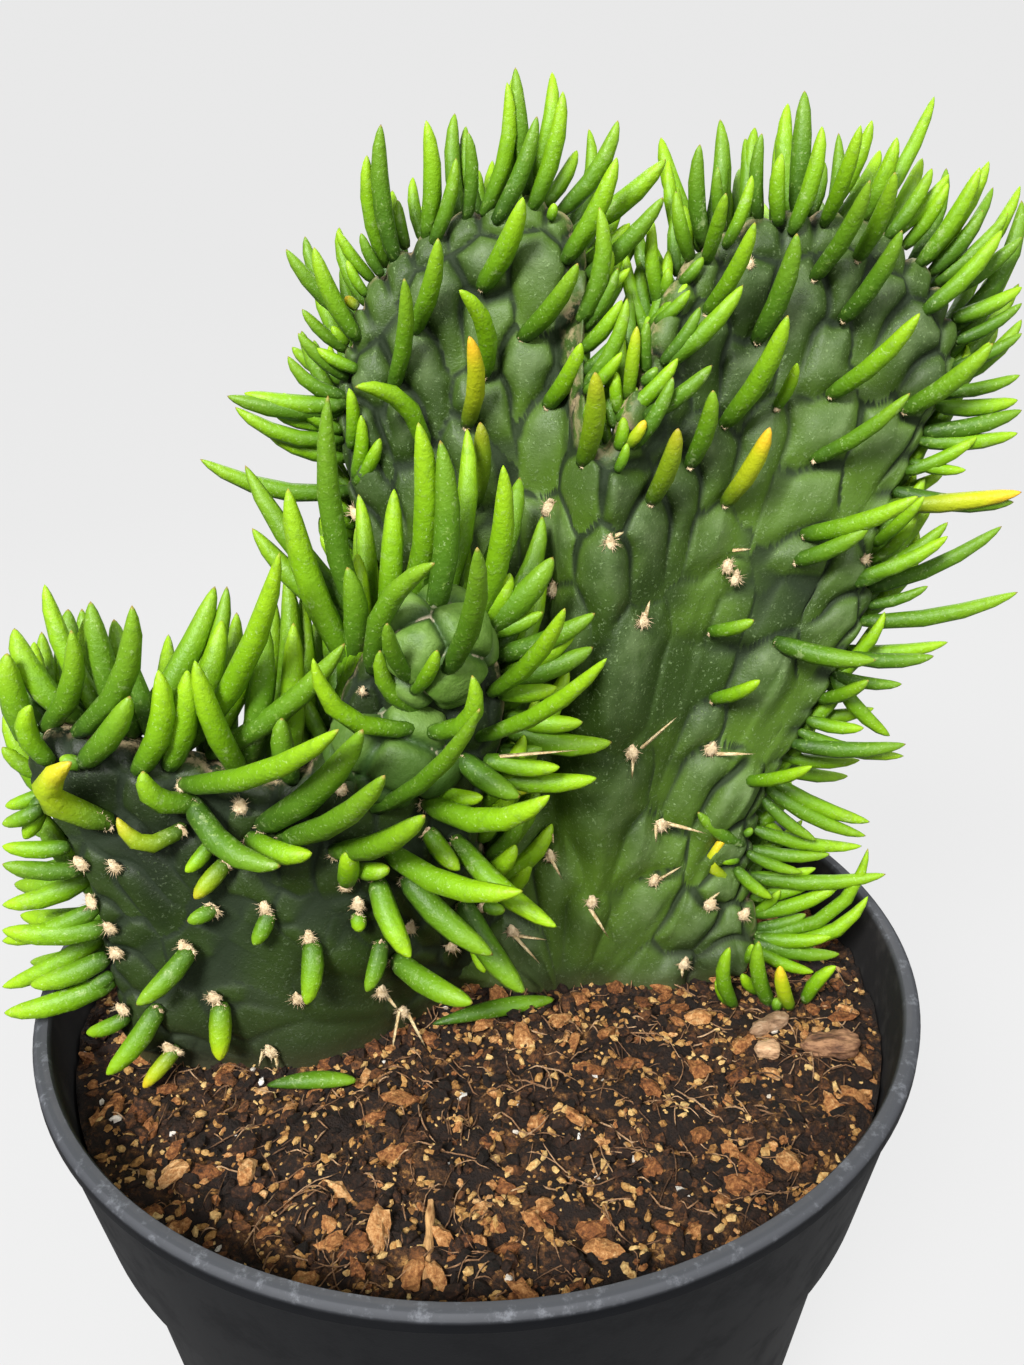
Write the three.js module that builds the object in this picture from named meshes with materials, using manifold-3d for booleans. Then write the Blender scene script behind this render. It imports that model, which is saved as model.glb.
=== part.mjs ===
// A crested eves needle cactus in a round nursery pot, in millimetres, +Z up.
// The origin is the middle of the pot's flat bottom, and -Y is the front.
import * as THREE from "three";
import { mergeVertices } from "three/addons/utils/BufferGeometryUtils.js";
import Module from "manifold-3d";

const wasm = await Module();
wasm.setup();

// Clearance between pieces that touch.
const gap = 0.3;

const pot = {
  height: 112,
  rimRadius: 75,
  lipWidth: 2.2,
  lipHeight: 3,
  collarTop: 74.3,
  collarBottom: 70.3,
  collarHeight: 29,
  bodyTop: 67.4,
  bottomRadius: 56,
  edge: 1.5,
  wall: 1.7,
  floor: 2.4,
  sides: 48,
  holes: 8,
  holeRadius: 5,
  holeCircle: 36,
};

const soil = {
  level: 101,
  mound: 1.2,
  relief: 1.1,
  calm: 9,
  rings: 9,
};

// The stems stand this deep in holes in the soil, and spread out from this height.
const stemBottom = 88;
const stemFoot = 102.6;

// A margin row is x, y and z of the growing edge, x and z of the point that the flesh fans out through,
// and the length of the leaves there. A crest runs from its right foot over the top to its left foot.
const bigCrest = {
  foot: [[47, 5], [34, 6], [20, 6.5], [6, 5], [-7, 4]],
  footHalf: 9.8,
  sections: 59,
  faceRows: [0, 0.2, 0.38, 0.54, 0.68, 0.8, 0.9, 1],
  footCrowd: 0.5,
  rim: 6.2,
  belly: 1.6,
  margin: [
    [51, 4, 109, 46, 105, 11],
    [49.5, 6, 119, 40, 112, 14],
    [49.5, 7, 129, 38, 120, 15],
    [52, 8, 139, 38, 127, 17],
    [57, 9, 150, 39, 133, 17],
    [62, 10, 160, 41, 139, 18],
    [67, 12, 170, 43, 147, 19],
    [66.5, 12, 180, 45, 156, 18],
    [69.5, 13, 190, 47, 164, 19],
    [74, 15, 200, 49, 172, 20],
    [77.5, 16, 211, 51, 179, 21],
    [74, 16, 220, 51, 184, 22],
    [66, 16, 227, 50, 187, 21],
    [58, 15, 230.5, 48, 189, 20],
    [49, 14, 231, 46, 190, 21],
    [41, 12, 229.5, 44, 190, 19],
    [35, 9, 226, 42, 189, 15],
    [30, 6, 220.5, 39, 186, 11],
    [26.5, 2, 213, 34, 180, 9],
    [23, -3, 205, 28, 173, 7],
    [20, -6, 199.5, 22, 166, 6],
    [17.5, -2, 206, 15, 172, 7],
    [17.5, 4, 216, 10, 179, 9],
    [18, 9, 225, 8, 184, 15],
    [15, 12, 231, 7, 187, 19],
    [9, 13, 234, 5, 188, 21],
    [1.5, 14, 232, 3, 187, 21],
    [-6, 14, 228.5, 1, 185, 19],
    [-12.5, 14, 224, -1, 181, 18],
    [-16.5, 14, 219, -2, 178, 16],
    [-19, 14, 212, -2, 173, 15],
    [-21, 14, 203, -2, 167, 14],
    [-20.5, 14, 196, -2, 161, 11],
    [-20, 14, 186, -1, 153, 10],
    [-19.5, 13, 176, 0, 146, 13],
    [-18, 12, 163, 1, 138, 15],
    [-16, 10, 148, 1, 129, 15],
    [-13, 8, 133, 0, 120, 14],
    [-11, 6, 120, -3, 111, 12],
    [-10.5, 5, 110, -6, 105, 10],
  ],
};

const lowCrest = {
  foot: [[-2, 4], [-10, -2], [-24, -12], [-40, -15.5], [-56, -16.5]],
  footHalf: 8.4,
  sections: 31,
  faceRows: [0, 0.26, 0.5, 0.7, 0.86, 1],
  footCrowd: 0.6,
  rim: 6,
  belly: 1.2,
  margin: [
    [4, 3, 117, -1, 110, 14],
    [3, -5, 128, -5, 116, 17],
    [1, -9, 138, -7, 123, 19],
    [2, -12, 148, -9, 130, 20],
    [5, -13, 158, -10, 138, 19],
    [5, -14, 168, -11, 146, 19],
    [1, -14, 176, -12, 151, 22],
    [-5, -14, 179, -14, 152, 24],
    [-12, -14, 176, -17, 149, 24],
    [-18, -13.5, 168, -21, 144, 25],
    [-21, -13.5, 160, -25, 138, 26],
    [-26, -14, 153.5, -30, 132, 27],
    [-33, -14, 152, -35, 129, 27],
    [-41, -14.5, 155.5, -39, 128, 26],
    [-49, -15, 158, -43, 128, 24],
    [-57, -15, 161, -46, 129, 21],
    [-63, -15, 161, -48, 128, 19],
    [-67, -15, 156, -49, 126, 18],
    [-64, -15.5, 149, -48, 122, 19],
    [-61, -16, 140, -47, 117, 20],
    [-60, -16.5, 131, -48, 113, 20],
    [-59.5, -17, 121, -50, 109, 18],
    [-59, -17, 110.5, -54, 106, 14],
  ],
};

// The tight head that the low crest curls into, in front of the big crest.
const knob = {
  centre: [-5, -16, 168],
  radii: [11.5, 10.5, 11],
  tiers: { centre: [-11, -15, 157], radii: [11, 9.5, 9] },
};

// Areoles stand in rows at these distances from the growing edge, this far apart in the row.
const areoleRows = [
  { from: 8.5, apart: 7 },
  { from: 16, apart: 8 },
  { from: 24.5, apart: 8.5 },
];
const tubercleHeight = 1.5;

// A leaf is a tapered finger with a narrow root and a pointed tip.
const leafShape = {
  thickness: 4.4,
  sunk: 2.4,
  sides: 3,
  rings: [
    { at: -1, wide: 0.75 },
    { at: 0.45, wide: 1.28 },
    { at: 0.85, wide: 0.9 },
  ],
};

// Leaves on the growing edge stand in rows round it, at these angles from the edge towards the front.
const edgeRows = [0, 38, -38, 72];
const edgeStep = 4.6;

// Leaves on the front: x and z of the root, heading from +X towards +Z, lean to the front, and length.
const bigCrestLeaves = [
  [3, 221, 65, 35, 16], [-7, 214, 70, 30, 18], [-11, 207, 80, 30, 19], [4, 209, 110, 30, 15],
  [9, 214, 55, 40, 17], [13, 205, 70, 45, 14], [17, 197, 85, 30, 16], [18, 209, 65, 35, 14],
  [28, 190, 80, 35, 16], [34, 196, 85, 40, 15], [39, 202, 70, 30, 19], [40, 190, 75, 35, 16],
  [47, 204, 90, 50, 10], [43, 214, 80, 35, 17], [52, 221, 75, 35, 16], [57, 216, 75, 40, 16],
  [35, 218, 70, 35, 15], [35, 211, 70, 40, 14], [53, 195, 50, 35, 18], [56, 206, 55, 40, 17],
  [68, 202, 50, 25, 15], [52, 179, 40, 35, 14], [59, 177, 35, 20, 18], [50, 165, 10, 35, 17],
  [55, 167, 0, 20, 22], [38, 169, 50, 55, 12], [39, 157, 55, 50, 14], [51, 154, 20, 35, 15],
  [39, 125, 75, 30, 16], [24, 205, 40, 40, 13], [28, 203, 50, 40, 13], [0, 202, 85, 30, 16],
  [16, 218, 70, 35, 15], [23, 196, 95, 50, 7], [69, 217, 55, 25, 15],
  [66, 169, 0, 0, 26], [72, 189, -3, 0, 20], [75, 200, 5, 0, 17], [75, 214, 15, 0, 18],
  [60, 148, -12, 0, 19], [50, 125, 3, 8, 24],
];
const lowCrestLeaves = [
  [-8, 163, 130, 25, 21], [-6, 167, 115, 35, 15], [-3, 173, 75, 15, 21], [-4, 179, 85, 10, 26],
  [-8, 180, 85, 5, 26], [3, 178, 85, 5, 22], [5, 179, 80, 5, 18], [7, 177, 60, 25, 13],
  [5, 168, 55, 20, 18], [2, 164, 35, 15, 22], [-6, 164, 55, 35, 16], [-13, 150, 50, 20, 27],
  [-7, 153, 10, 25, 21], [-13, 143, -5, 20, 23], [-14, 138, -55, 40, 13], [-10, 137, -30, 25, 18],
  [-1, 127, -50, 30, 17], [-13, 122, -15, 30, 15], [-2, 141, -40, 20, 20], [4, 160, -5, 15, 16],
  [5, 148, 15, 20, 15], [-14, 173, 55, 20, 20], [-20, 143, 35, 25, 20], [-27, 146, 40, 25, 24],
  [-30, 148, 50, 15, 26], [-41, 156, 20, 10, 26], [-40, 150, -10, 20, 20], [-57, 145, 80, 20, 19],
  [-52, 148, 15, 35, 17], [-44, 136, 50, 30, 18], [-35, 128, 60, 35, 21], [-26, 126, -95, 40, 9],
  [-44, 126, -145, 25, 12], [-41, 117, -90, 20, 10], [-52, 113, -130, 10, 14], [-55, 138, -165, 10, 20],
  [-57, 127, -160, 10, 20], [-61, 130, 180, 5, 21], [-64, 160, 130, 5, 20], [-39, 155, 65, 0, 32],
];

// Loose pieces that lie on the soil: place is x and y, and turn is in degrees.
const lumpPieces = [
  { name: "bark_chunk", place: [58.5, -20.3], radii: [6, 2.9, 2.4], turn: 4, set: 31, colour: 0x6b3f26 },
  { name: "bark_strip", place: [49, -15.6], radii: [5.2, 1.8, 1.5], turn: 30, set: 32, colour: 0x8a6a48 },
  { name: "stone_lump", place: [47.7, -22], radii: [2.3, 2, 1.8], turn: 0, set: 33, colour: 0xb08a5c },
];
const fallenLeaves = [
  { name: "fallen_leaf_front", from: [-8.3, -13.8], to: [13.2, -7.6], thickness: 3.6 },
  { name: "fallen_leaf_left", from: [-34, -27.2], to: [-19.5, -26.4], thickness: 3.2 },
];
const twig = { from: [-6.4, -46.6], to: [-5.6, -64], thickness: 1.4 };

// Dry spines on the old areoles: x and z of the areole on the front, and the heading of the spine.
const spineShape = { length: 9, thickness: 0.9 };
const spinePlaces = [
  [22, 185, 60], [27, 173, -70], [40, 183, 30], [26, 150, -90], [39, 150, -5], [30, 137, -20],
  [30, 125, -120], [19, 120, -70], [40, 120, 20], [36, 108, -20], [6, 128, -50],
];

// Faces of the joined plant that differ by less than this are run together.
const weldWithin = 0.04;

// Repeatable draw between 0 and 1 for the nth item of a numbered set.
function draw(set, n) {
  const wave = Math.sin(set * 127.1 + n * 311.7) * 43758.5453;
  return wave - Math.floor(wave);
}

function mix(a, b, share) {
  return a + (b - a) * share;
}

function ease(share) {
  const x = Math.min(1, Math.max(0, share));
  return x * x * (3 - 2 * x);
}

function curveThrough(points) {
  const path = points.map((p) => new THREE.Vector3(...p));
  return new THREE.CatmullRomCurve3(path, false, "catmullrom", 0.5);
}

// One wave-like lump field for the soil, between -1 and 1.
function lumps(x, y) {
  const across = Math.sin(x * 0.71 + 2.1 * Math.sin(y * 0.43));
  const along = Math.sin(y * 0.83 + 1.7 * Math.sin(x * 0.37 + 1));
  return (across + along) / 2;
}

// Height of the soil, calm and level where the stems come out of it.
function soilTop(x, y) {
  const fromBig = Math.hypot(Math.max(0, Math.abs(x - 20) - 28), Math.max(0, Math.abs(y - 5) - 11));
  const fromLow = Math.hypot(Math.max(0, Math.abs(x + 30) - 30), Math.max(0, Math.abs(y + 10) - 15));
  const away = ease(Math.min(fromBig, fromLow) / soil.calm);
  const round = 1 - Math.min(1, Math.hypot(x, y) / 70) ** 2;
  return soil.level + away * (soil.mound * round + soil.relief * lumps(x, y));
}

// A flat fan-shaped stem that grows from a foot line to a long curved edge.
class Crest {
  constructor(spec, set) {
    this.spec = spec;
    this.set = set;
    this.footLine = curveThrough(spec.foot.map(([x, y]) => [x, y, stemFoot]));
    this.edge = curveThrough(spec.margin.map(([x, y, z]) => [x, y, z]));
    this.via = curveThrough(spec.margin.map(([, y, , viaX, viaZ]) => [viaX, y, viaZ]));
    this.reach = curveThrough(spec.margin.map((row) => [row[5], 0, 0]));
    this.edgeLength = this.edge.getLength();
  }

  // The foot point, the point passed through and the edge point of one radial line, u from 0 to 1.
  radial(u) {
    const at = this.edge.getUtoTmapping(u, 0);
    const crowd = this.spec.footCrowd;
    const share = u < 0.5 ? 0.5 * (2 * u) ** crowd : 1 - 0.5 * (2 * (1 - u)) ** crowd;
    const foot = this.footLine.getPoint(share);
    const via = this.via.getPoint(at);
    via.y = mix(foot.y, via.y, 0.6);
    const half = this.spec.footHalf * Math.sqrt(1 - 0.78 * (2 * share - 1) ** 2);
    return { foot, via, tip: this.edge.getPoint(at), half };
  }

  middle(line, s) {
    const rest = 1 - s;
    return new THREE.Vector3()
      .addScaledVector(line.foot, rest * rest)
      .addScaledVector(line.via, 2 * rest * s)
      .addScaledVector(line.tip, s * s);
  }

  // Share of the radial line at which its rounded edge starts.
  shoulder(line) {
    return Math.max(0.35, 1 - this.spec.rim / (2 * line.tip.distanceTo(line.via)));
  }

  // A point of the smooth skin: v is -1 at the front foot, 0 on the edge and 1 at the back foot.
  skin(u, v) {
    const line = this.radial(u);
    const shoulder = this.shoulder(line);
    const side = v < 0 ? 1 : -1;
    const round = 0.3;
    if (Math.abs(v) > round) {
      const s = (shoulder * (1 - Math.abs(v))) / (1 - round);
      const facing = new THREE.Vector3(0, -side, 0);
      const share = s / shoulder;
      const half = mix(line.half, this.spec.rim, ease(share)) + this.spec.belly * Math.sin(Math.PI * share);
      return { point: this.middle(line, s).addScaledVector(facing, half), facing };
    }
    const centre = this.middle(line, shoulder);
    const outward = line.tip.clone().sub(centre);
    const depth = outward.length();
    outward.normalize();
    const turn = (-v / round) * (Math.PI / 2);
    const point = centre.addScaledVector(outward, depth * Math.cos(turn));
    point.y -= this.spec.rim * Math.sin(turn);
    const facing = outward.multiplyScalar(Math.cos(turn));
    facing.y -= Math.sin(turn);
    return { point, facing: facing.normalize() };
  }

  // The v of the back skin that lies a distance from the edge, or null below the foot.
  backAt(u, fromEdge) {
    const line = this.radial(u);
    const shoulder = this.shoulder(line);
    const quarter = this.spec.rim * 1.4;
    if (fromEdge < quarter) return 0.3 * (fromEdge / quarter);
    const length = this.middle(line, shoulder).distanceTo(this.middle(line, shoulder / 2))
      + this.middle(line, shoulder / 2).distanceTo(line.foot);
    const s = 1 - (fromEdge - quarter) / length;
    return s < 0.06 ? null : 1 - 0.7 * s;
  }

  // Areoles on the back face, in staggered rows that follow the edge.
  backAreoles() {
    const list = [];
    const steps = 500;
    areoleRows.forEach((row, k) => {
      let walked = (k % 2) * row.apart * 0.5;
      let last = null;
      for (let i = 0; i <= steps; i += 1) {
        const u = i / steps;
        const v = this.backAt(u, row.from);
        if (v === null) {
          last = null;
          continue;
        }
        const { point, facing } = this.skin(u, v);
        walked += last ? last.distanceTo(point) : 0;
        last = point;
        if (walked < row.apart) continue;
        walked = (draw(this.set + k, i) - 0.5) * row.apart * 0.25;
        const below = this.skin(u, v + 0.04).point;
        list.push({ point, facing, along: point.clone().sub(below).normalize(), row: k });
      }
    });
    return list;
  }
}

// Height of a head's tubercles over its smooth skin: pillows that meet in narrow grooves.
function pillow(point, centres) {
  const distances = centres.map((c) => c.distanceTo(point)).sort((a, b) => a - b);
  const rise = Math.min(1, (distances[1] - distances[0]) / 5.5);
  return tubercleHeight * (1 - (1 - rise) ** 2) - 0.5;
}

function middleOf(points) {
  return points.reduce((sum, p) => sum.add(p), new THREE.Vector3()).divideScalar(points.length);
}

// A closed solid from rings of points, each joined to the next, with a fan of faces at both ends.
function solidFromRings(rings, hubOf = middleOf) {
  const size = rings[0].length;
  const positions = [];
  for (const ring of rings) for (const p of ring) positions.push(p.x, p.y, p.z);
  const faces = [];
  for (let i = 0; i + 1 < rings.length; i += 1) {
    for (let j = 0; j < size; j += 1) {
      const a = i * size + j;
      const b = i * size + ((j + 1) % size);
      const c = a + size;
      const d = b + size;
      if ((i + j) % 2) faces.push(a, b, d, a, d, c);
      else faces.push(a, b, c, b, d, c);
    }
  }
  for (const [ring, last] of [[rings[0], false], [rings[rings.length - 1], true]]) {
    const centre = hubOf(ring);
    positions.push(centre.x, centre.y, centre.z);
    const hub = positions.length / 3 - 1;
    const start = last ? (rings.length - 1) * size : 0;
    for (let j = 0; j < size; j += 1) {
      const a = start + j;
      const b = start + ((j + 1) % size);
      if (last) faces.push(hub, a, b);
      else faces.push(hub, b, a);
    }
  }
  const geometry = new THREE.BufferGeometry();
  geometry.setAttribute("position", new THREE.Float32BufferAttribute(positions, 3));
  geometry.setIndex(faces);
  return geometry;
}

function signedVolume(geometry) {
  const at = geometry.attributes.position;
  const index = geometry.index;
  const [a, b, c] = [new THREE.Vector3(), new THREE.Vector3(), new THREE.Vector3()];
  let sum = 0;
  for (let i = 0; i < index.count; i += 3) {
    a.fromBufferAttribute(at, index.getX(i));
    b.fromBufferAttribute(at, index.getX(i + 1));
    c.fromBufferAttribute(at, index.getX(i + 2));
    sum += a.dot(b.cross(c)) / 6;
  }
  return sum;
}

// A closed three.js geometry as a solid that can be joined and cut.
function toSolid(source) {
  const geometry = source.clone();
  geometry.deleteAttribute("normal");
  geometry.deleteAttribute("uv");
  const merged = mergeVertices(geometry, 1e-4);
  const faces = Uint32Array.from(merged.index.array);
  if (signedVolume(merged) < 0) {
    for (let i = 0; i < faces.length; i += 3) [faces[i], faces[i + 1]] = [faces[i + 1], faces[i]];
  }
  const vertices = Float32Array.from(merged.attributes.position.array);
  return new wasm.Manifold(new wasm.Mesh({ numProp: 3, vertProperties: vertices, triVerts: faces }));
}

function toGeometry(solid) {
  const mesh = solid.getMesh();
  const geometry = new THREE.BufferGeometry();
  geometry.setAttribute("position", new THREE.Float32BufferAttribute(mesh.vertProperties, 3));
  geometry.setIndex(Array.from(mesh.triVerts));
  return geometry;
}

// The largest body of a solid, without loose scraps and sealed hollows.
function mainBody(solid) {
  return solid.decompose().reduce((best, one) => (one.volume() > best.volume() ? one : best));
}

// The stem of a crest as a loft: each section goes down the front, round the edge and down the back.
// Its points are the tops and grooves of the tubercles, staggered from section to section.
function crestSolid(crest) {
  const { sections, faceRows } = crest.spec;
  const across = [
    ...faceRows.map((s) => 0.7 * s - 1),
    -0.16, 0, 0.16,
    ...faceRows.map((s) => 1 - 0.7 * s).reverse(),
  ];
  const rings = [];
  for (let i = 0; i <= sections; i += 1) {
    const u = i / sections;
    const line = crest.radial(u);
    const beside = crest.skin(Math.min(1, u + 0.01), -0.4).point;
    const wide = Math.min(1, crest.skin(u, -0.4).point.distanceTo(beside) / 2);
    const ring = across.map((v, j) => {
      const { point, facing } = crest.skin(u, v);
      const isTop = j % 2 === 0 && (i + j / 2) % 2 === 0;
      const grown = ease((1 - Math.abs(v)) / 0.3) * wide;
      return point.addScaledVector(facing, grown * (isTop ? tubercleHeight : -0.4));
    });
    for (const p of ring) p.z = Math.max(p.z, line.foot.z);
    const front = ring[0].clone().setZ(stemBottom);
    const back = ring[ring.length - 1].clone().setZ(stemBottom);
    rings.push([front, ...ring, back]);
  }
  const footMiddle = (ring) => middleOf([ring[1], ring[ring.length - 2]]);
  return toSolid(solidFromRings(rings, footMiddle));
}

// The hole that a crest's stem stands in, wider than the stem by the gap.
function stemHole(crest) {
  const { sections } = crest.spec;
  const front = [];
  const back = [];
  for (let i = 0; i <= sections; i += 1) {
    const { foot, half } = crest.radial(i / sections);
    const past = i === 0 ? gap : i === sections ? -gap : 0;
    front.push(new THREE.Vector2(foot.x + past, foot.y - half - gap));
    back.push(new THREE.Vector2(foot.x + past, foot.y + half + gap));
  }
  const outline = new THREE.Shape([...front, ...back.reverse()]);
  const depth = stemFoot - stemBottom + 20;
  const geometry = new THREE.ExtrudeGeometry(outline, { depth, bevelEnabled: false });
  geometry.translate(0, 0, stemBottom - gap);
  return toSolid(geometry);
}

// Centre line of a leaf, from its sunk root at -1 to its tip at 1, curved a little towards bend.
function leafPoint(leaf, at) {
  if (at < 0) return leaf.root.clone().addScaledVector(leaf.heading, at * leafShape.sunk);
  const point = leaf.root.clone().addScaledVector(leaf.heading, leaf.length * at);
  return point.addScaledVector(leaf.bend, leaf.length * at * at);
}

function leafSolid(leaf) {
  const sides = leafShape.sides;
  const across = new THREE.Vector3(0.3, -1, 0.2).cross(leaf.heading).normalize();
  const over = leaf.heading.clone().cross(across).normalize();
  const positions = [];
  for (const ring of leafShape.rings) {
    const centre = leafPoint(leaf, ring.at);
    const radius = (leaf.thickness / 2) * ring.wide;
    for (let j = 0; j < sides; j += 1) {
      const turn = (2 * Math.PI * (j + 0.5)) / sides;
      const p = centre.clone().addScaledVector(across, radius * Math.cos(turn));
      p.addScaledVector(over, radius * Math.sin(turn));
      positions.push(p.x, p.y, p.z);
    }
  }
  const tip = leafPoint(leaf, 1);
  positions.push(tip.x, tip.y, tip.z);
  const faces = [];
  for (let j = 0; j < sides; j += 1) {
    const next = (j + 1) % sides;
    for (let k = 0; k + 1 < leafShape.rings.length; k += 1) {
      const low = k * sides;
      const high = low + sides;
      faces.push(low + j, low + next, high + next, low + j, high + next, high + j);
    }
    const top = (leafShape.rings.length - 1) * sides;
    faces.push(top + j, top + next, positions.length / 3 - 1);
    if (j > 0 && j + 1 < sides) faces.push(0, next, j);
  }
  const geometry = new THREE.BufferGeometry();
  geometry.setAttribute("position", new THREE.Float32BufferAttribute(positions, 3));
  geometry.setIndex(faces);
  return toSolid(geometry);
}

// A leaf from its root, heading and length, bent gently upwards.
function makeLeaf(root, heading, length, lift, seed) {
  const up = new THREE.Vector3(0, 0, 1);
  const bend = up.addScaledVector(heading, -heading.z).multiplyScalar(lift);
  const slim = Math.min(1, 0.55 + length / 38);
  const thickness = leafShape.thickness * slim * mix(0.9, 1.08, draw(91, seed));
  return { root, heading, length, bend, thickness };
}

// True where a leaf keeps clear of the soil and of the pot's rim.
function leafIsClear(leaf) {
  for (const at of [0.15, 0.3, 0.45, 0.6, 0.8, 1]) {
    const p = leafPoint(leaf, at);
    const radius = at > 0.9 ? 0.5 : leaf.thickness * 0.66;
    const out = Math.hypot(p.x, p.y);
    if (out < pot.rimRadius - pot.lipWidth && p.z - radius < soilTop(p.x, p.y) + 1) return false;
    const inWall = Math.max(0, pot.collarBottom - pot.wall - 0.5 - out, out - pot.rimRadius);
    if (Math.hypot(inWall, Math.max(0, p.z - pot.height)) < radius + 0.6) return false;
  }
  return true;
}

// Leaves in staggered rows round the growing edge, every fifth one of each row and fewer low on the back.
function edgeLeaves(crest) {
  const leaves = [];
  const count = Math.round(crest.edgeLength / edgeStep);
  edgeRows.forEach((turn, k) => {
    for (let i = 0; i < count; i += 1) {
      const seed = crest.set * 1000 + k * 200 + i;
      if ((i + k * 2) % (turn > 50 ? 10 : 5)) continue;
      const u = (i + 0.5 + (draw(11, seed) - 0.5) * 0.5) / count;
      const v = -0.3 * (turn / 90);
      const { point, facing } = crest.skin(u, v);
      const length = crest.reach.getPoint(crest.edge.getUtoTmapping(u, 0)).x * mix(0.78, 1, draw(12, seed));
      const heading = facing.clone();
      heading.x += (draw(13, seed) - 0.5) * 0.35;
      heading.y += (draw(14, seed) - 0.5) * 0.3;
      heading.z += 0.2 + (draw(15, seed) - 0.5) * 0.35;
      heading.normalize();
      const leaf = makeLeaf(point, heading, length, mix(0.02, 0.2, draw(16, seed)), seed);
      if (leafIsClear(leaf)) leaves.push(leaf);
    }
  });
  return leaves;
}

// Sparse leaves on the back, at some of the areoles nearest the edge.
function backLeaves(crest) {
  const leaves = [];
  crest.backAreoles().forEach((c, n) => {
    if (draw(21, crest.set * 500 + n) > 0.22 - 0.05 * c.row) return;
    const heading = c.facing.clone().multiplyScalar(0.75).addScaledVector(c.along, 0.8);
    heading.z += 0.35;
    const length = mix(13, 19, draw(22, n));
    const leaf = makeLeaf(c.point.clone(), heading.normalize(), length, 0.12, n);
    if (leafIsClear(leaf)) leaves.push(leaf);
  });
  return leaves;
}

// A fine set of points of a crest's front, to find where a listed leaf or spine is rooted.
function frontPoints(crest) {
  const points = [];
  for (let i = 0; i <= 160; i += 1) {
    for (let j = 0; j <= 36; j += 1) points.push(crest.skin(i / 160, -1 + j / 36));
  }
  return points;
}

// The front skin's point that lies nearest to x and z in the front view.
function rootOnFront(points, x, z) {
  let best = points[0];
  let least = Infinity;
  for (const one of points) {
    const far = Math.hypot(one.point.x - x, one.point.z - z) + 0.05 * one.point.y;
    if (far < least) {
      least = far;
      best = one;
    }
  }
  return best;
}

function headingFrom(heading, lean) {
  const turn = THREE.MathUtils.degToRad(heading);
  const out = THREE.MathUtils.degToRad(lean);
  return new THREE.Vector3(Math.cos(out) * Math.cos(turn), -Math.sin(out), Math.cos(out) * Math.sin(turn));
}

function listedLeaves(points, list) {
  return list
    .map(([x, z, heading, lean, length], n) => {
      const { point } = rootOnFront(points, x, z);
      return makeLeaf(point.clone(), headingFrom(heading, lean), length, 0.08, 40 + n);
    })
    .filter(leafIsClear);
}

function spineSolid(root, heading) {
  const geometry = new THREE.ConeGeometry(spineShape.thickness, spineShape.length + 2, 3);
  geometry.translate(0, spineShape.length / 2 - 1, 0);
  geometry.applyQuaternion(new THREE.Quaternion().setFromUnitVectors(new THREE.Vector3(0, 1, 0), heading));
  geometry.translate(root.x, root.y, root.z);
  return toSolid(geometry);
}

// A round head with large tubercles on it.
function headSolid({ centre, radii }, set, count, detail) {
  const geometry = new THREE.IcosahedronGeometry(1, detail);
  const middle = new THREE.Vector3(...centre);
  const centres = [];
  for (let n = 0; n < count; n += 1) {
    const z = 1 - (2 * (n + 0.5)) / count;
    const turn = n * 2.399963 + set;
    const flat = Math.sqrt(1 - z * z);
    const unit = new THREE.Vector3(flat * Math.cos(turn), flat * Math.sin(turn), z);
    centres.push(unit.multiply(new THREE.Vector3(...radii)).add(middle));
  }
  const at = geometry.attributes.position;
  const p = new THREE.Vector3();
  for (let i = 0; i < at.count; i += 1) {
    p.fromBufferAttribute(at, i).normalize();
    const facing = p.clone();
    p.multiply(new THREE.Vector3(...radii)).add(middle);
    p.addScaledVector(facing, pillow(p, centres));
    at.setXYZ(i, p.x, p.y, p.z);
  }
  return toSolid(geometry);
}

function named(name, solid, colour, roughness) {
  const material = new THREE.MeshStandardMaterial({ color: colour, roughness, metalness: 0 });
  const mesh = new THREE.Mesh(toGeometry(solid), material);
  mesh.name = name;
  return mesh;
}

// The pot: a rolled lip, a collar, a step in to the tapered body and a flat bottom with drain holes.
function makePot() {
  const { height, rimRadius, lipWidth, lipHeight, collarTop, collarBottom, collarHeight } = pot;
  const { bodyTop, bottomRadius, edge, wall, floor } = pot;
  const collarFoot = height - collarHeight;
  const slope = (bodyTop - bottomRadius) / collarFoot;
  const profile = [
    [0, 0],
    [bottomRadius - edge, 0],
    [bottomRadius, edge],
    [bodyTop, collarFoot - 1.5],
    [collarBottom - 0.4, collarFoot],
    [collarTop, height - lipHeight],
    [rimRadius, height - lipHeight + 0.5],
    [rimRadius, height - 0.6],
    [rimRadius - 0.7, height],
    [rimRadius - lipWidth, height],
    [rimRadius - lipWidth - 0.5, height - 1],
    [collarBottom - wall, collarFoot + 2.5],
    [bodyTop - wall, collarFoot - 1],
    [bottomRadius - wall + slope * floor, floor],
    [0, floor],
  ].map(([x, y]) => new THREE.Vector2(x, y));
  const lathe = new THREE.LatheGeometry(profile, pot.sides);
  lathe.rotateX(Math.PI / 2);
  let solid = toSolid(lathe);
  for (let n = 0; n < pot.holes; n += 1) {
    const turn = (2 * Math.PI * (n + 0.5)) / pot.holes;
    const hole = new THREE.CylinderGeometry(pot.holeRadius, pot.holeRadius, 4 * floor, 10);
    hole.rotateX(Math.PI / 2);
    hole.translate(pot.holeCircle * Math.cos(turn), pot.holeCircle * Math.sin(turn), 0);
    solid = solid.subtract(toSolid(hole));
  }
  return named("pot", solid, 0x1b1c1e, 0.55);
}

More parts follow.
